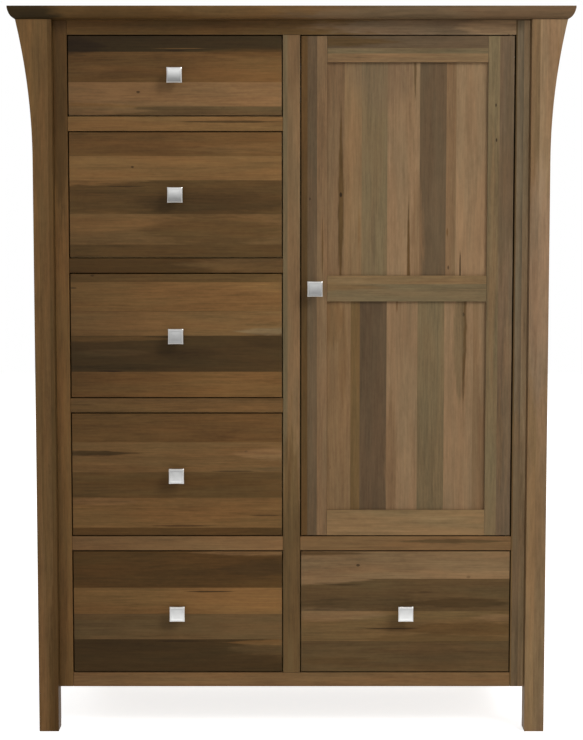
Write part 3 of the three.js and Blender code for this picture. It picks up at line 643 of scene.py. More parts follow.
def knob_nickel(name, centre, upper, lower):
    """Satin nickel with a painted reflection, which shades from one tone to another down a knob's head, and a
    brighter rim that is a painted highlight.
    """
    made = metal(name, "nickel", 0.36, 2.0)
    tree = made.node_tree
    fall = grouped(tree, "Knob fall", {
        "Vector": tree.nodes["Texture Coordinate"].outputs["Object"], "Centre": centre,
        "Half Width": sizes().knob_width / 2,
    })
    shaded = [[share * part for part in tones().nickel] for share in (upper, lower)]
    face = mixed(tree, "MIX", fall["Fall"], *shaded)
    # Painted highlight along the head's rim
    rim = value_of(tree, "MULTIPLY", fall["Rim"], 0.6)
    colour = mixed(tree, "MIX", rim, face, tones().nickel_painted_highlight)
    fill(tree, tree.nodes["Principled BSDF"], {"Base Color": colour})
    return made


def catch_plastic():
    """Moulded brown plastic with a fine texture."""
    made, tree, shader, place = new_material("catch_plastic")
    grain = node(tree, "ShaderNodeTexNoise", {"Scale": PLASTIC_GRAIN, "Vector": place}).outputs["Fac"]
    speckle = ramp_of(tree, grain, 0.3, 0.7)
    fill(tree, shader, {
        "Base Color": mixed(tree, "MULTIPLY", speckle, tones().plastic, (0.85, 0.85, 0.85)),
        "Roughness": 0.5, "Normal": bump_of(tree, grain, *PLASTIC_BUMP),
    })
    return made


# Modelling steps


def deselect():
    """Leaves no object selected."""
    bpy.ops.object.select_all(action="DESELECT")


def only(piece):
    """Selects one object and makes it the active one."""
    deselect()
    piece.select_set(True)
    bpy.context.view_layer.objects.active = piece


def settle():
    """Puts the active object's place, turn and scale into its mesh."""
    bpy.ops.object.transform_apply(location=True, rotation=True, scale=True)


def named(piece, name):
    """Names an object and its mesh."""
    piece.name = name
    piece.data.name = name
    return piece


def middle_of(node_name):
    """The middle of a node's box, across and up."""
    low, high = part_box(node_name)
    return (low.x + high.x) / 2, (low.z + high.z) / 2


def modify(piece, kind, **settings):
    """Gives the active object a modifier and applies it."""
    change = piece.modifiers.new("change", kind)
    for key, value in settings.items():
        setattr(change, key, value)
    bpy.ops.object.modifier_apply(modifier=change.name)


def add_block(name, low, high):
    """A block between two corners, with its place in its mesh."""
    low, high = Vector(low), Vector(high)
    deselect()
    bpy.ops.mesh.primitive_cube_add(size=1, location=(low + high) / 2, scale=high - low)
    piece = named(bpy.context.active_object, name)
    settle()
    return piece


def board_of(node_name):
    """A block as large as a node's box, to be shaped."""
    return add_block(node_name + "_eased", *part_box(node_name))


def combine(piece, other, operation):
    """Cuts another object out of a piece, or joins it on, and removes it."""
    only(piece)
    modify(piece, "BOOLEAN", operation=operation, solver="EXACT", object=other)
    bpy.data.objects.remove(other, do_unlink=True)


def merge(piece, other):
    """Puts another object's faces into a piece as they are."""
    only(piece)
    other.select_set(True)
    bpy.ops.object.join()


def carve(piece, low, high):
    """Cuts a block between two corners out of a piece."""
    combine(piece, add_block("cutter", low, high), "DIFFERENCE")


def drill(piece, x, z, y_front, y_back, radius):
    """A round hole through a piece from front to back."""
    deselect()
    bpy.ops.mesh.primitive_cylinder_add(
        vertices=24, radius=radius, depth=y_back - y_front,
        location=(x, (y_front + y_back) / 2, z), rotation=(math.pi / 2, 0, 0),
    )
    combine(piece, bpy.context.active_object, "DIFFERENCE")


def screw_hole(piece, knob_name, y_front, y_back):
    """The hole for a knob's screw through a board between two places."""
    radius = sizes().screw_radius + 2 * sizes().joint_gap
    drill(piece, *middle_of(knob_name), y_front - PAST, y_back + PAST, radius)


def pick(piece, kind, wanted):
    """Opens a piece for editing with the faces or points chosen by a test on their place."""
    only(piece)
    bpy.ops.object.mode_set(mode="EDIT")
    bpy.ops.mesh.select_mode(type=kind)
    bpy.ops.mesh.select_all(action="DESELECT")
    bpy.ops.object.mode_set(mode="OBJECT")
    if kind == "FACE":
        for face in piece.data.polygons:
            face.select = wanted(face.center, face.normal)
    else:
        for point in piece.data.vertices:
            point.select = wanted(point.co)
    bpy.ops.object.mode_set(mode="EDIT")


def close_edit():
    """Goes back from editing a mesh to its object."""
    bpy.ops.object.mode_set(mode="OBJECT")


def move_points(piece, wanted, offset):
    """Moves the points that a test chooses."""
    pick(piece, "VERT", wanted)
    bpy.ops.transform.translate(value=offset)
    close_edit()


def extrude_face(piece, wanted, offset):
    """Draws out the faces that a test chooses."""
    pick(piece, "FACE", wanted)
    bpy.ops.mesh.extrude_region_move(TRANSFORM_OT_translate={"value": offset})
    close_edit()


def ease_edges(piece, width, segments=2, angle=35):
    """Rounds the sharp edges of a finished shape a little and smooths it."""
    only(piece)
    limit = math.radians(angle)
    if width > 0:
        modify(piece, "BEVEL", width=width, segments=segments, limit_method="ANGLE", angle_limit=limit)
    bpy.ops.object.shade_smooth_by_angle(angle=limit)
    modify(piece, "WEIGHTED_NORMAL", keep_sharp=True)


def finish_piece(piece, body, slot, material, *nodes):
    """Gives a piece its material, and fixes it to a body of the frame in place of its nodes. Its slot is not
    used.
    """
    piece.data.materials.clear()
    piece.data.materials.append(material)
    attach(piece, body)
    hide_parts(*nodes)


def moved(piece, offset, turn=(0, 0, 0)):
    """Turns and moves a piece, and puts its place into its mesh."""
    only(piece)
    piece.location = offset
    piece.rotation_euler = turn
    settle()
    return piece


def copy_of(piece, name, offset):
    """A copy of a piece with its own mesh, moved by an offset."""
    made = piece.copy()
    made.data = piece.data.copy()
    bpy.context.collection.objects.link(named(made, name))
    return moved(made, offset)


def dress(node_name, material):
    """Gives a node of the frame a better material."""
    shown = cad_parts[node_name]
    shown.data.materials.clear()
    shown.data.materials.append(material)


def turned(name, profile, steps=32):
    """A round piece about the Y axis, from (radius, place along Y) pairs, closed at both ends."""
    deselect()
    radius, place = profile[0]
    bpy.ops.mesh.primitive_circle_add(
        vertices=steps, radius=radius, fill_type="NGON",
        location=(0, place, 0), rotation=(math.pi / 2, 0, 0),
    )
    piece = named(bpy.context.active_object, name)
    settle()
    bpy.ops.object.mode_set(mode="EDIT")
    bpy.ops.mesh.select_all(action="SELECT")
    for next_radius, next_place in profile[1:]:
        bpy.ops.mesh.extrude_region_move(TRANSFORM_OT_translate={"value": (0, next_place - place, 0)})
        share = next_radius / radius
        bpy.ops.transform.resize(value=(share, 1, share), center_override=(0, next_place, 0))
        radius, place = next_radius, next_place
    bpy.ops.mesh.select_all(action="SELECT")
    bpy.ops.mesh.normals_make_consistent(inside=False)
    close_edit()
    return piece


def cross_slot(piece, half_span, half_width, y_from, y_to):
    """The cross slot of a screw's head that stands on the Y axis."""
    carve(piece, (-half_span, y_from, -half_width), (half_span, y_to, half_width))
    carve(piece, (-half_width, y_from, -half_span), (half_width, y_to, half_span))


# Operators, one for each piece or group of like pieces


class CHIFFOROBE_OT_top(bpy.types.Operator):
    """Top board, whose edge curves in below its front and sides"""

    bl_idname = "chifforobe.top"
    bl_label = "Top board"

    # The edge's curve: its steps, and where its control point lies inwards and down
    steps = 8
    in_share = 0.2
    down_share = 0.77
    # How far the edge's foot stands out past the leg's side, and how the edge is eased and smoothed
    inset_play = 0.001
    edge_ease = 0.0006
    smooth_angle = 28
    boards = (
        ("brown", 0.09), ("olive", 0.08), ("reddish", 0.1), ("light", 0.07), ("golden", 0.09), ("dark", 0),
    )

    def execute(self, context):
        low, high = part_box("top_board")
        leg_low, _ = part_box("front_left_leg")
        land = sizes().top_land
        inset = leg_low.x - low.x - self.inset_play
        drop = high.z - low.z - land
        piece = add_block("top_board_shaped", (low.x, low.y, high.z - land), high)
        previous_in, previous_down = 0.0, 0.0
        for step in range(1, self.steps + 1):
            t = step / self.steps
            curve_in = (2 * t * (1 - t) * self.in_share + t * t) * inset
            curve_down = (2 * t * (1 - t) * self.down_share + t * t) * drop
            narrower, lower = curve_in - previous_in, curve_down - previous_down
            level = high.z - land - curve_down
            extrude_face(piece, lambda centre, normal: normal.z < -0.9, (0, 0, -lower))
            at_level = lambda point: abs(point.z - level) < lower / 4
            move_points(piece, lambda point: at_level(point) and point.x < 0, (narrower, 0, 0))
            move_points(piece, lambda point: at_level(point) and point.x > 0, (-narrower, 0, 0))
            move_points(piece, lambda point: at_level(point) and point.y < 0, (0, narrower, 0))
            previous_in, previous_down = curve_in, curve_down
        ease_edges(piece, self.edge_ease, angle=self.smooth_angle)
        material = wood("top_wood", "x_wide_y", self.boards, "top_board", 3.0)
        finish_piece(piece, "carcass", "top_wood", material, "top_board")
        return {"FINISHED"}


class CHIFFOROBE_OT_legs(bpy.types.Operator):
    """Four square legs, whose outer sides lean out in an arc below the top"""

    bl_idname = "chifforobe.legs"
    bl_label = "Legs"

    # Layers of the arc, and how near to a level and how far outside the inner side its points are
    steps = 18
    near = 0.001
    aside = 0.01
    boards = {"left": (("brown", 0.066), ("dark", 0)), "right": (("light", 0.018), ("pinkish", 0))}

    def leg(self, node_name, side):
        """A post with the arc of its outer side, raised layer by layer."""
        low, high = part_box(node_name)
        inner = low.x if side > 0 else high.x
        straight = inner + side * sizes().leg_width
        flare = (high.x - low.x) - sizes().leg_width
        rise = sizes().flare_height
        start = high.z + sizes().joint_gap - rise
        radius = (rise ** 2 + flare ** 2) / (2 * flare)
        x_low, x_high = min(inner, straight), max(inner, straight)
        piece = add_block(node_name + "_shaped", (x_low, low.y, low.z), (x_high, high.y, start))
        turn = math.asin((high.z - start) / radius)
        previous_out, previous_up = 0.0, 0.0
        for step in range(1, self.steps + 1):
            angle = turn * step / self.steps
            out = radius * (1 - math.cos(angle))
            up = radius * math.sin(angle)
            level = start + up
            higher = up - previous_up
            upper_end = lambda centre, normal: normal.z > 0.9 and centre.z > level - higher * 1.5
            extrude_face(piece, upper_end, (0, 0, higher))
            at_level = lambda point: abs(point.z - level) < self.near
            outer = lambda point: at_level(point) and abs(point.x) > abs(inner) + self.aside
            move_points(piece, outer, (side * (out - previous_out), 0, 0))
            previous_out, previous_up = out, up
        return piece

    def rebate(self, piece, name, word, side):
        """Cuts a leg back where a side panel stands, and a rear leg also where the back stands."""
        gap = sizes().joint_gap
        low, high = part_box(name)
        panel_low, panel_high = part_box(f"{word}_side_panel")
        front_leg = name.startswith("front")
        y_from = panel_low.y - gap if front_leg else low.y - PAST
        y_to = high.y + PAST if front_leg else panel_high.y + gap
        carve(
            piece, (panel_low.x - gap, y_from, panel_low.z - gap),
            (panel_high.x + gap, y_to, high.z + PAST),
        )
        if not front_leg:
            back_low, back_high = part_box("back_panel")
            edge = back_low.x - gap if side < 0 else back_high.x + gap
            inner = high.x + PAST if side < 0 else low.x - PAST
            carve(
                piece, (min(edge, inner), back_low.y - gap, back_low.z - gap),
                (max(edge, inner), high.y + PAST, high.z + PAST),
            )

    def execute(self, context):
        seed = 11.0
        for depth_word in ("front", "rear"):
            for word, side in (("left", -1), ("right", 1)):
                name = f"{depth_word}_{word}_leg"
                piece = self.leg(name, side)
                self.rebate(piece, name, word, side)
                ease_edges(piece, sizes().edge_ease)
                material = wood(f"{name}_wood", "z_wide_x", self.boards[word], name, seed)
                finish_piece(piece, "carcass", "leg_wood", material, name)
                seed += 7.3
        return {"FINISHED"}


class CHIFFOROBE_OT_case(bpy.types.Operator):
    """Side panels, back, partition and the boards inside the case"""

    bl_idname = "chifforobe.case"
    bl_label = "Case"

    side_tones = ("golden", "reddish", "brown", "light", "dark", "grey")
    inner_grains = {
        "back_panel": "z_wide_x", "centre_partition": "z_wide_y", "case_bottom": "x_wide_y",
        "wardrobe_floor": "x_wide_y", "dust_frame_1": "x_wide_y", "dust_frame_2": "x_wide_y",
        "dust_frame_3": "x_wide_y", "dust_frame_4": "x_wide_y",
    }

    def execute(self, context):
        seed = 41.0
        for name in ("left_side_panel", "right_side_panel"):
            low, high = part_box(name)
            piece = board_of(name)
            ease_edges(piece, sizes().edge_ease)
            boards = random_boards(self.side_tones, low.y, high.y, int(seed))
            material = wood(f"{name}_wood", "z_wide_y", boards, name, seed, mineral=0.8)
            finish_piece(piece, "carcass", "side_wood", material, name)
            seed += 5.0
        for name, grain in self.inner_grains.items():
            dress(name, wood(f"{name}_wood", grain, [("case", 0)], name, seed, figure=0.6))
            seed += 5.0
        return {"FINISHED"}


class CHIFFOROBE_OT_face_frame(bpy.types.Operator):
    """Stiles and rails round the drawers and the door"""

    bl_idname = "chifforobe.face_frame"
    bl_label = "Face frame"

    stiles = {
        "left_stile": [("tan", 0)],
        # The cream board at the right stile's outer edge is partly lighter wood and partly painted light
        # against the leg's shadow
        "right_stile": [("dark_olive", 0.003), ("stone", 0.0135), ("cream_and_painted_light", 0)],
        "centre_stile": [("olive", 0.0096), ("light", 0)],
    }
    rails = {
        "bottom_rail": [("honey", 0)],
        "drawer_rail_1": [("golden", 0)],
        "drawer_rail_2": [("umber", 0)],
        "drawer_rail_3": [("brown", 0)],
        "drawer_rail_4": [("honey", 0)],
        "door_rail": [("honey", 0)],
    }

    def execute(self, context):
        seed = 71.0
        for name, boards in (*self.stiles.items(), *self.rails.items()):
            piece = board_of(name)
            if name == "door_rail":
                self.seat(piece, "lower_case_pivot")
            ease_edges(piece, sizes().edge_ease)
            grain = "z_wide_x" if name in self.stiles else "x_wide_z"
            material = wood(f"{name}_wood", grain, boards, name, seed)
            finish_piece(piece, "carcass", "frame_wood", material, name)
            seed += 3.7
        dress("top_rail", wood("top_rail_wood", "x_wide_z", [("dark", 0)], "top_rail", seed))
        return {"FINISHED"}

    def seat(self, piece, plate):
        """The mortise of a pivot plate."""
        gap = sizes().joint_gap
        low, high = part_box(plate)
        _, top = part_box("door_rail")
        carve(piece, (low.x - gap, low.y - gap, low.z - gap), (high.x + gap, high.y + gap, top.z + PAST))


class CHIFFOROBE_OT_drawer_fronts(bpy.types.Operator):
    """Six inset drawer fronts of glued boards"""

    bl_idname = "chifforobe.drawer_fronts"
    bl_label = "Drawer fronts"

    def execute(self, context):
        for number in range(1, 7):
            name = f"drawer_{number}_front"
            low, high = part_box(name)
            piece = board_of(name)
            screw_hole(piece, f"drawer_{number}_knob", low.y, high.y)
            ease_edges(piece, sizes().edge_ease)
            boards = self.from_bottom(FRONT_BOARDS[number], high.z - low.z)
            material = wood(f"drawer_{number}_wood", "x_wide_z", boards, name, 100.0 + 9.1 * number)
            finish_piece(piece, f"drawer_{number}", "drawer_wood", material, name)
        return {"FINISHED"}

    def from_bottom(self, boards, whole):
        """Turns a list that runs from the top down into one that runs upwards."""
        given = sum(width for _, width in boards)
        full = [(word, width or whole - given) for word, width in boards]
        return full[::-1]


class CHIFFOROBE_OT_drawer_boxes(bpy.types.Operator):
    """Drawer boxes with dovetailed sides and a thin bottom"""

    bl_idname = "chifforobe.drawer_boxes"
    bl_label = "Drawer boxes"

    # How much the pins widen for their length, how far their cutters reach out, the boards' easing, and how
    # near to a pin's back its points are
    slope_share = 0.14
    reach = 0.002
    edge_ease = 0.0004
    near = 0.0001
    grains = {
        "left_side": "y_wide_z", "right_side": "y_wide_z", "box_front": "x_wide_z",
        "back": "x_wide_z", "floor": "x_wide_y",
    }

    def pins(self, x_low, x_high, y_front, low_z, high_z, reach):
        """Dovetail pins that run through a side's thickness, wider towards the back."""
        wall = sizes().box_wall
        count = max(2, round((high_z - low_z) / sizes().tail_pitch))
        pitch = (high_z - low_z) / count
        whole = None
        for step in range(count + 1):
            middle = low_z + pitch * step
            bottom = max(middle - sizes().pin_width / 2, low_z - reach)
            top = min(middle + sizes().pin_width / 2, high_z + reach)
            pin = add_block("pins", (x_low, y_front - reach, bottom), (x_high, y_front + wall, top))
            spread = self.slope_share * (wall + reach)
            back = y_front + wall
            if bottom > low_z:
                move_points(pin, lambda p: p.y > back - self.near and p.z < middle, (0, 0, -spread))
            if top < high_z:
                move_points(pin, lambda p: p.y > back - self.near and p.z > middle, (0, 0, spread))
            if whole:
                merge(whole, pin)
            else:
                whole = pin
        return whole

    def build(self, number):
        """The five boards of a drawer box."""
        low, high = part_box(f"drawer_{number}_box")
        wall = sizes().box_wall
        inner_x = (low.x + wall, high.x - wall)
        floor_low = low.z + sizes().box_floor_raise
        floor_high = floor_low + sizes().box_floor
        side_spans = {"left_side": (low.x, inner_x[0]), "right_side": (inner_x[1], high.x)}
        made = {}
        for word, (x_low, x_high) in side_spans.items():
            made[word] = add_block(f"drawer_{number}_{word}", (x_low, low.y, low.z), (x_high, high.y, high.z))
            span = (x_low - self.reach, x_high + self.reach)
            combine(made[word], self.pins(*span, low.y, low.z, high.z, self.reach), "DIFFERENCE")
        inner = {
            "box_front": ((low.y, low.y + wall), (low.z, high.z)),
            "back": ((high.y - wall, high.y), (low.z, high.z)),
            "floor": ((low.y + wall, high.y - wall), (floor_low, floor_high)),
        }
        for word, (span_y, span_z) in inner.items():
            corners = list(zip(inner_x, span_y, span_z))
            made[word] = add_block(f"drawer_{number}_{word}", *corners)
        screw_hole(made["box_front"], f"drawer_{number}_knob", low.y, low.y + wall)
        for x_low, x_high in side_spans.values():
            merge(made["box_front"], self.pins(x_low, x_high, low.y, low.z, high.z, 0.0))
        for word, piece in made.items():
            ease_edges(piece, self.edge_ease if word != "floor" else 0.0)
        return made

    def execute(self, context):
        deep = self.build(2)
        deep_low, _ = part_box("drawer_2_box")
        for number in range(1, 7):
            box = f"drawer_{number}_box"
            if number == 1:
                made = self.build(1)
            elif number == 2:
                made = deep
            else:
                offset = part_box(box)[0] - deep_low
                made = {
                    word: copy_of(piece, f"drawer_{number}_{word}", offset) for word, piece in deep.items()
                }
            for count, (word, piece) in enumerate(made.items()):
                seed = 200.0 + 17.0 * number + 3.1 * count
                name = f"drawer_{number}_{word}_wood"
                material = wood(name, self.grains[word], [("box", 0)], box, seed, figure=0.55)
                finish_piece(piece, f"drawer_{number}", "box_wood", material, box)
        return {"FINISHED"}


class CHIFFOROBE_OT_door(bpy.types.Operator):
    """Framed door with two flat panels"""

    bl_idname = "chifforobe.door"
    bl_label = "Door"

    def execute(self, context):
        self.stiles()
        self.rails()
        self.panels()
        return {"FINISHED"}

    def stiles(self):
        """The upright boards at the sides, with grooves for the panels."""
        gap = sizes().joint_gap
        panel_low, panel_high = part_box("door_upper_panel")
        for name, side, seed in (("door_lock_stile", 1, 301.0), ("door_hinge_stile", -1, 311.0)):
            low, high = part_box(name)
            piece = board_of(name)
            inner = high.x if side > 0 else low.x
            groove_x = sorted((inner - side * sizes().groove_depth, inner + side * PAST))
            carve(
                piece, (groove_x[0], panel_low.y - gap, low.z - PAST),
                (groove_x[1], panel_high.y + gap, high.z + PAST),
            )
            if side > 0:
                screw_hole(piece, "door_knob", low.y, high.y)
            else:
                self.hinge_seats(piece, low, high)
            self.finish_upright(piece, name, seed)

    def hinge_seats(self, piece, low, high):
        """The mortises of the two pivot plates, at the ends of the hinge stile."""
        gap = sizes().joint_gap
        upper_low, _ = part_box("upper_door_pivot")
        _, lower_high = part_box("lower_door_pivot")
        case_low, case_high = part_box("upper_case_pivot")
        x_from, x_to = upper_low.x - gap, case_high.x + gap
        y_from, y_to = case_low.y - gap, case_high.y + gap
        carve(piece, (x_from, y_from, upper_low.z - gap), (x_to, y_to, high.z + PAST))
        carve(piece, (x_from, y_from, low.z - PAST), (x_to, y_to, lower_high.z + gap))

    def finish_upright(self, piece, name, seed):
        """Eases a stile or a panel and gives it its boards."""
        ease_edges(piece, sizes().edge_ease)
        slot, figure = ("panel_wood", 0.82) if "panel" in name else ("door_wood", 1.0)
        material = wood(f"{name}_wood", "z_wide_x", DOOR_BOARDS[name], name, seed, figure=figure)
        finish_piece(piece, "door", slot, material, name)

    def rails(self):
        """The boards across, with tongues in the stiles and grooves for the panels."""
        gap = sizes().joint_gap
        depth = sizes().groove_depth
        field = (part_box("door_lock_stile")[1].x + gap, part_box("door_hinge_stile")[0].x - gap)
        panel_low, panel_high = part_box("door_upper_panel")
        seed = 321.0
        for name, laid in DOOR_RAIL_BOARDS.items():
            low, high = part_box(name)
            piece = add_block(name + "_eased", (field[0], low.y, low.z), (field[1], high.y, high.z))
            tongue = add_block("tongue", (low.x, panel_low.y, low.z), (high.x, panel_high.y, high.z))
            combine(piece, tongue, "UNION")
            y_from, y_to = panel_low.y - gap, panel_high.y + gap
            if name != "door_bottom_rail":
                carve(piece, (low.x - PAST, y_from, low.z - PAST), (high.x + PAST, y_to, low.z + depth))
            if name != "door_top_rail":
                carve(piece, (low.x - PAST, y_from, high.z - depth), (high.x + PAST, y_to, high.z + PAST))
            ease_edges(piece, sizes().edge_ease)
            material = wood(f"{name}_wood", "x_wide_z", laid, name, seed)
            finish_piece(piece, "door", "door_wood", material, name)
            seed += 6.3

    def panels(self):
        """The two flat panels."""
        for name, seed in (("door_upper_panel", 345.0), ("door_lower_panel", 352.0)):
            self.finish_upright(board_of(name), name, seed)


class CHIFFOROBE_OT_knobs(bpy.types.Operator):
    """Square satin nickel knobs with their screws"""

    bl_idname = "chifforobe.knobs"
    bl_label = "Knobs"

    # Cells along a side of the head's grid, steps of the neck, and how narrow the head's back is
    cells = 20
    neck_steps = 12
    back_share = 0.86
    # How far the neck reaches into the head, and the foot's and the screw head's heights, in metres
    overlap = 0.002
    foot_height = 0.003
    cap_height = 0.0025
    cap_round = 0.0008
    # The screw's cross slot: half its width in metres, and how much of the screw's head it spans
    slot_half = 0.0004
    slot_span = 0.62
    # Painted reflection: how bright the top and the bottom of each knob's head are, as shares of the nickel's
    # tone
    painted_reflection_shades = {1: (1.1, 0.3), 2: (1.0, 0.33), 3: (0.74, 0.52), 4: (0.72, 1.15), 5: (0.95, 1.5), 6: (1.0, 1.6)}
    door_painted_reflection_shades = (0.8, 0.42)

    def head(self, front, back):
        """The head, from a fine grid shaped into a rounded rim about a slightly domed middle."""
        half = sizes().knob_width / 2
        bow, rim = sizes().knob_bow, sizes().knob_rim
        drop, dish = sizes().knob_rim_drop, sizes().knob_dish
        deselect()
        bpy.ops.mesh.primitive_grid_add(
            x_subdivisions=self.cells, y_subdivisions=self.cells, size=2 * half,
            location=(0, front, 0), rotation=(math.pi / 2, 0, 0),
        )
        piece = bpy.context.active_object
        settle()
        rings = self.cells // 2
        nearest = lambda distance: round(distance / half * rings)
        for ring in range(1, rings + 1):
            inward = half * (1 - ring / rings)
            if inward < rim:
                fall = 1 - inward / rim
                sunk = drop * (1 - math.sqrt(max(0.0, 1 - fall * fall)))
            else:
                away = (inward - rim) / (half - rim)
                sunk = dish * (1 - away) ** 2 * min(1.0, away * 6)
            move_points(piece, lambda p: nearest(max(abs(p.x), abs(p.z))) == ring, (0, sunk, 0))
        narrowing = lambda line: 1 - bow / half * (1 - (line / rings) ** 2)
        for line in range(1 - rings, rings):
            pick(piece, "VERT", lambda p: nearest(p.z) == line)
            bpy.ops.transform.resize(value=(narrowing(line), 1, 1), center_override=(0, front, 0))
            close_edit()
        for line in range(1 - rings, rings):
            share = lambda p: 1 - bow / half * (1 - (p.z / half) ** 2)
            pick(piece, "VERT", lambda p: nearest(p.x / share(p)) == line)
            bpy.ops.transform.resize(value=(1, 1, narrowing(line)), center_override=(0, front, 0))
            close_edit()
        rim_y = front + drop
        only(piece)
        bpy.ops.object.mode_set(mode="EDIT")
        bpy.ops.mesh.select_mode(type="EDGE")
        bpy.ops.mesh.select_all(action="DESELECT")
        bpy.ops.mesh.select_non_manifold()
        bpy.ops.mesh.extrude_region_move(TRANSFORM_OT_translate={"value": (0, back - rim_y - drop, 0)})
        bpy.ops.mesh.extrude_region_move(TRANSFORM_OT_translate={"value": (0, drop, 0)})
        bpy.ops.transform.resize(value=(self.back_share, 1, self.back_share), center_override=(0, back, 0))
        bpy.ops.mesh.edge_face_add()
        bpy.ops.mesh.select_all(action="SELECT")
        bpy.ops.mesh.normals_make_consistent(inside=False)
        close_edit()
        return piece

    def knob(self, name, low, high, wood_front):
        """A whole knob about the Y axis, from its head to its screw's head."""
        foot, neck = sizes().knob_foot_radius, sizes().knob_neck_radius
        shank, cap = sizes().screw_radius, sizes().screw_head_radius
        back = low.y + sizes().knob_head
        foot_y = wood_front - sizes().joint_gap
        profile = [(foot, back - self.overlap)]
        for step in range(1, self.neck_steps):
            t = step / self.neck_steps
            waist = neck + (foot - neck) * (2 * t - 1) ** 2
            profile.append((waist, back + (foot_y - self.foot_height - back) * t))
        cap_y, cap_top = high.y - self.cap_height, high.y - self.cap_round
        profile += [
            (foot, foot_y - self.foot_height), (foot, foot_y), (shank, foot_y), (shank, cap_y),
            (cap, cap_y), (cap, cap_top), (cap * 0.7, high.y), (cap * 0.1, high.y),
        ]
        stem = turned(name, profile)
        combine(stem, self.head(low.y, back), "UNION")
        cross_slot(stem, cap * self.slot_span, self.slot_half, cap_top, high.y + PAST)
        ease_edges(stem, 0.0, angle=42)
        return stem

    def execute(self, context):
        wood_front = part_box("drawer_1_front")[0].y
        drawer_knob = self.knob("drawer_knob", *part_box("drawer_1_knob"), wood_front)
        door_knob = self.knob("door_knob_shaped", *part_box("door_knob"), wood_front)
        for number, painted_reflection_shades in self.painted_reflection_shades.items():
            name = f"drawer_{number}_knob"
            x, z = middle_of(name)
            piece = copy_of(drawer_knob, name + "_shaped", (x, 0, z))
            material = knob_nickel(f"{name}_nickel", (x, 0, z), *painted_reflection_shades)
            finish_piece(piece, f"drawer_{number}", "knob_nickel", material, name)
        bpy.data.objects.remove(drawer_knob, do_unlink=True)
        x, z = middle_of("door_knob")
        material = knob_nickel("door_knob_nickel", (x, 0, z), *self.door_painted_reflection_shades)
        finish_piece(moved(door_knob, (x, 0, z)), "door", "knob_nickel", material, "door_knob")
        return {"FINISHED"}


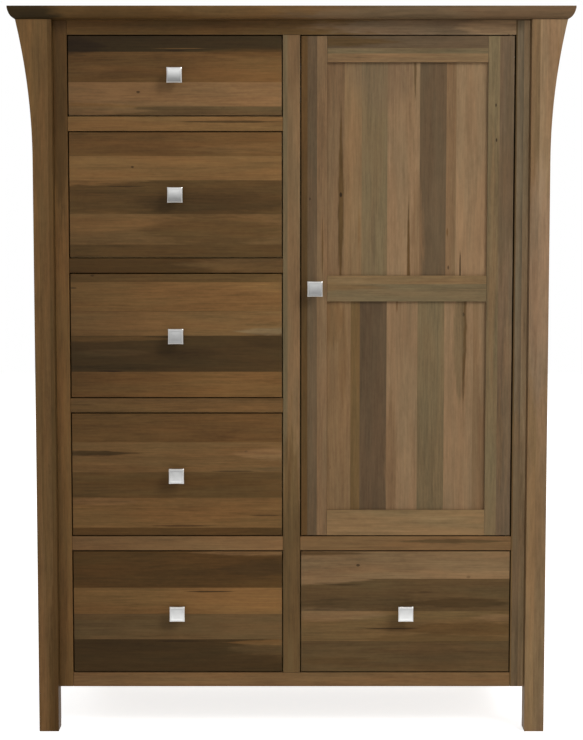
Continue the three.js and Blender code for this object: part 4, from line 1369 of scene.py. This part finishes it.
class CHIFFOROBE_OT_fittings(bpy.types.Operator):
    """Clothes rod and its cups, pivots, catch and strike plate"""

    bl_idname = "chifforobe.fittings"
    bl_label = "Fittings"

    # Turns a piece made about the Y axis so that it lies along X
    along_x = (0, 0, -math.pi / 2)
    # Easings of the rod, the poles, the housing and the plate, and sizes of the catch, in metres
    rod_ease = 0.0015
    pole_ease = 0.0002
    housing_ease = 0.0007
    plate_ease = 0.0003
    lip = 0.001
    ear = 0.003
    ear_depth = (0.003, 0.002)
    rise = 0.0155
    pole_shares = (0.62, 0.9)
    pole_half = 0.0009
    pole_depth = 0.003
    pole_play = 0.0001
    catch_screw = (0.0027, 0.0014)
    catch_screw_inset = 0.0038
    strike_screw = (0.0036, 0.0005)
    strike_screw_x = 0.012
    strike_sink = 0.0006
    strike_hole = 0.0038

    def execute(self, context):
        self.rod()
        steel = metal("strike_steel", "steel", 0.33, 11.0)
        self.catch(steel)
        self.strike(steel)
        # The pivots' brass is darkened with painted shade
        brass_and_painted_shade = metal("pivot_brass", "brass_and_painted_shade", 0.32, 5.0)
        for name in ("upper_door_pivot", "lower_door_pivot", "upper_case_pivot", "lower_case_pivot"):
            dress(name, brass_and_painted_shade)
        return {"FINISHED"}

    def rod(self):
        """The clothes rod, and the metal of its two cups."""
        low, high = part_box("garment_rod")
        radius, ease = (high.z - low.z) / 2, self.rod_ease
        profile = [
            (radius - ease, low.x), (radius, low.x + ease),
            (radius, high.x - ease), (radius - ease, high.x),
        ]
        place = (0, (low.y + high.y) / 2, (low.z + high.z) / 2)
        rod = moved(turned("garment_rod_turned", profile, 48), place, self.along_x)
        ease_edges(rod, 0.0)
        material = wood("rod_wood", "x_wide_z", [("case", 0)], "garment_rod", 401.0, figure=0.6)
        finish_piece(rod, "carcass", "inner_wood", material, "garment_rod")
        finish = metal("socket_metal", "steel", 0.28, 8.0)
        for name in ("rod_socket_left", "rod_socket_right"):
            dress(name, finish)

    def screw(self, name, radius, height):
        """The head of a cross-head screw at the origin, rising along Y."""
        profile = [(radius, 0), (radius, height * 0.5), (radius * 0.75, height), (radius * 0.1, height)]
        piece = turned(name, profile, 20)
        cross_slot(piece, radius * 0.6, radius * 0.13, height * 0.35, height * 2)
        ease_edges(piece, 0.0, angle=40)
        return piece

    def catch(self, steel):
        """The magnet's housing with two steel poles, on ears with screws."""
        low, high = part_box("magnetic_catch")
        middle = (low.z + high.z) / 2
        housing = add_block(
            "magnetic_catch_housing", (low.x, low.y + self.lip, middle - self.rise),
            (high.x, high.y, middle + self.rise),
        )
        ears = add_block(
            "ears", (low.x, low.y + self.ear_depth[0], low.z),
            (low.x + self.ear, high.y - self.ear_depth[1], high.z),
        )
        combine(housing, ears, "UNION")
        pole_rise = self.rise - self.pole_depth
        half, play = self.pole_half, self.pole_play
        for count, share in enumerate(self.pole_shares):
            x = low.x + (high.x - low.x) * share
            carve(
                housing, (x - half - play, low.y, middle - pole_rise - play),
                (x + half + play, low.y + self.lip + self.pole_depth, middle + pole_rise + play),
            )
            pole = add_block(
                f"magnetic_catch_pole_{count + 1}", (x - half, low.y, middle - pole_rise),
                (x + half, low.y + self.lip + self.pole_depth - play, middle + pole_rise),
            )
            ease_edges(pole, self.pole_ease)
            finish_piece(pole, "carcass", "strike_steel", steel, "magnetic_catch")
        ease_edges(housing, self.housing_ease, segments=3)
        finish_piece(housing, "carcass", "catch_plastic", catch_plastic(), "magnetic_catch")
        inset = self.catch_screw_inset
        for count, z in enumerate((low.z + inset, high.z - inset)):
            screw = self.screw(f"magnetic_catch_screw_{count + 1}", *self.catch_screw)
            moved(screw, (low.x + self.ear, (low.y + high.y) / 2, z), self.along_x)
            finish_piece(screw, "carcass", "strike_steel", steel, "magnetic_catch")

    def strike(self, steel):
        """The plate on the door that the catch holds, with its screw sunk into it."""
        low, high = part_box("strike_plate")
        x, z = low.x + self.strike_screw_x, (low.z + high.z) / 2
        sunk_y = high.y - self.strike_sink
        plate = add_block("strike_plate_drilled", low, high)
        drill(plate, x, z, sunk_y, high.y + PAST, self.strike_hole)
        ease_edges(plate, self.plate_ease)
        finish_piece(plate, "door", "strike_steel", steel, "strike_plate")
        screw = moved(self.screw("strike_plate_screw", *self.strike_screw), (x, sunk_y, z))
        finish_piece(screw, "door", "strike_steel", steel, "strike_plate")


class CHIFFOROBE_OT_stage(bpy.types.Operator):
    """Pale floor, soft studio lamps and the camera"""

    bl_idname = "chifforobe.stage"
    bl_label = "Stage"

    # Each lamp's name, place, size and the setting of its power, and the place that all of them face
    lamps = (
        ("key_lamp", (3.3, -3.9, 4.4), 2.2, "key_power"),
        ("fill_lamp", (-0.8, -7.2, 2.6), 5.0, "fill_power"),
        ("rear_right_lamp", (4.2, 5.2, 3.2), 3.0, "rear_power"),
        ("rear_left_lamp", (-4.2, 5.2, 3.2), 3.0, "rear_power"),
    )
    faced = (0, 0, 0.75)
    white = (1, 1, 1, 1)
    # The floor's side in metres, how brightly it glows where it is seen, and how much of that shows
    floor_side = 16
    glow_level = 3.9
    glow_share = 0.2
    sensor_width = 36

    def execute(self, context):
        scene = context.scene
        scene.view_settings.view_transform = "Standard"
        studio = scene.chifforobe_studio
        self.floor()
        self.world(studio)
        for name, place, size, setting in self.lamps:
            self.lamp(name, place, size, getattr(studio, setting))
        self.camera(scene, studio)
        return {"FINISHED"}

    def floor(self):
        """A pale floor, which glows where it is seen and keeps the object's shadow."""
        deselect()
        bpy.ops.mesh.primitive_plane_add(size=self.floor_side, location=(0, 0, 0))
        floor = bpy.context.active_object
        floor.name = "studio_floor"
        made, tree, shader, _ = new_material("studio_floor")
        fill(tree, shader, {
            "Base Color": (*tones().floor, 1), "Roughness": 0.9, "Specular IOR Level": 0.1,
        })
        glow = node(tree, "ShaderNodeEmission", {"Color": self.white, "Strength": self.glow_level})
        share = value_of(tree, "MULTIPLY", self.seen(tree), self.glow_share)
        self.blend(tree, share, shader.outputs["BSDF"], glow.outputs["Emission"], "Material Output")
        floor.data.materials.append(made)

    def blend(self, tree, share, first, second, output):
        """Mixes two shaders at an output."""
        mix = node(tree, "ShaderNodeMixShader", {"Fac": share, 1: first, 2: second})
        fill(tree, tree.nodes[output], {"Surface": mix.outputs["Shader"]})

    def seen(self, tree):
        """1 for rays that come from the camera or off something glossy or clear."""
        rays = node(tree, "ShaderNodeLightPath").outputs
        direct = value_of(tree, "MAXIMUM", rays["Is Camera Ray"], rays["Is Glossy Ray"])
        return value_of(tree, "MAXIMUM", direct, rays["Is Transmission Ray"])

    def world(self, studio):
        """Light from all round, and a white backdrop where it is seen."""
        world = bpy.data.worlds.new("studio")
        bpy.context.scene.world = world
        world.use_nodes = True
        tree = world.node_tree
        light = tree.nodes["Background"]
        fill(tree, light, {"Color": self.white, "Strength": studio.world_level})
        backdrop = node(tree, "ShaderNodeBackground", {"Color": self.white, "Strength": 1.0})
        self.blend(
            tree, self.seen(tree), light.outputs["Background"], backdrop.outputs["Background"],
            "World Output",
        )

    def lamp(self, name, place, size, watts):
        """A square lamp that faces the chifforobe."""
        deselect()
        aim = (Vector(self.faced) - Vector(place)).to_track_quat("-Z", "Y").to_euler()
        bpy.ops.object.light_add(type="AREA", location=place, rotation=aim)
        lamp = bpy.context.active_object
        lamp.name = name
        lamp.data.shape = "SQUARE"
        lamp.data.size = size
        lamp.data.energy = watts

    def camera(self, scene, studio):
        """The camera at the photo's angle."""
        leg_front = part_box("front_left_leg")[0].y
        deselect()
        bpy.ops.object.camera_add(
            location=(0, leg_front - studio.distance, studio.camera_height),
            rotation=(math.pi / 2 - studio.tilt, 0, 0),
        )
        camera = bpy.context.active_object
        camera.name = "photo_camera"
        camera.data.lens = studio.lens
        camera.data.sensor_width = self.sensor_width
        scene.camera = camera


class CHIFFOROBE_PT_panel(bpy.types.Panel):
    """Sizes, colours and steps of the chifforobe"""

    bl_label = "Chifforobe"
    bl_idname = "CHIFFOROBE_PT_panel"
    bl_space_type = "VIEW_3D"
    bl_region_type = "UI"
    bl_category = "Chifforobe"

    def draw(self, context):
        layout = self.layout
        for title, group in (
            ("Sizes", context.scene.chifforobe_sizes),
            ("Colours", context.scene.chifforobe_tones),
            ("Studio", context.scene.chifforobe_studio),
        ):
            box = layout.box()
            box.label(text=title)
            for key in group.__annotations__:
                box.prop(group, key)
        for step in STEPS:
            layout.operator(step.bl_idname)


STEPS = (
    CHIFFOROBE_OT_top,
    CHIFFOROBE_OT_legs,
    CHIFFOROBE_OT_case,
    CHIFFOROBE_OT_face_frame,
    CHIFFOROBE_OT_drawer_fronts,
    CHIFFOROBE_OT_drawer_boxes,
    CHIFFOROBE_OT_door,
    CHIFFOROBE_OT_knobs,
    CHIFFOROBE_OT_fittings,
    CHIFFOROBE_OT_stage,
)
CLASSES = (ChifforobeSizes, ChifforobeTones, ChifforobeStudio, *STEPS, CHIFFOROBE_PT_panel)


def register():
    for made in CLASSES:
        bpy.utils.register_class(made)
    bpy.types.Scene.chifforobe_sizes = bpy.props.PointerProperty(type=ChifforobeSizes)
    bpy.types.Scene.chifforobe_tones = bpy.props.PointerProperty(type=ChifforobeTones)
    bpy.types.Scene.chifforobe_studio = bpy.props.PointerProperty(type=ChifforobeStudio)


def unregister():
    del bpy.types.Scene.chifforobe_studio
    del bpy.types.Scene.chifforobe_tones
    del bpy.types.Scene.chifforobe_sizes
    for made in reversed(CLASSES):
        bpy.utils.unregister_class(made)


def main():
    register()
    bpy.ops.chifforobe.top()
    bpy.ops.chifforobe.legs()
    bpy.ops.chifforobe.case()
    bpy.ops.chifforobe.face_frame()
    bpy.ops.chifforobe.drawer_fronts()
    bpy.ops.chifforobe.drawer_boxes()
    bpy.ops.chifforobe.door()
    bpy.ops.chifforobe.knobs()
    bpy.ops.chifforobe.fittings()
    bpy.ops.chifforobe.stage()
    bpy.context.view_layer.update()


if __name__ == "__main__":
    main()
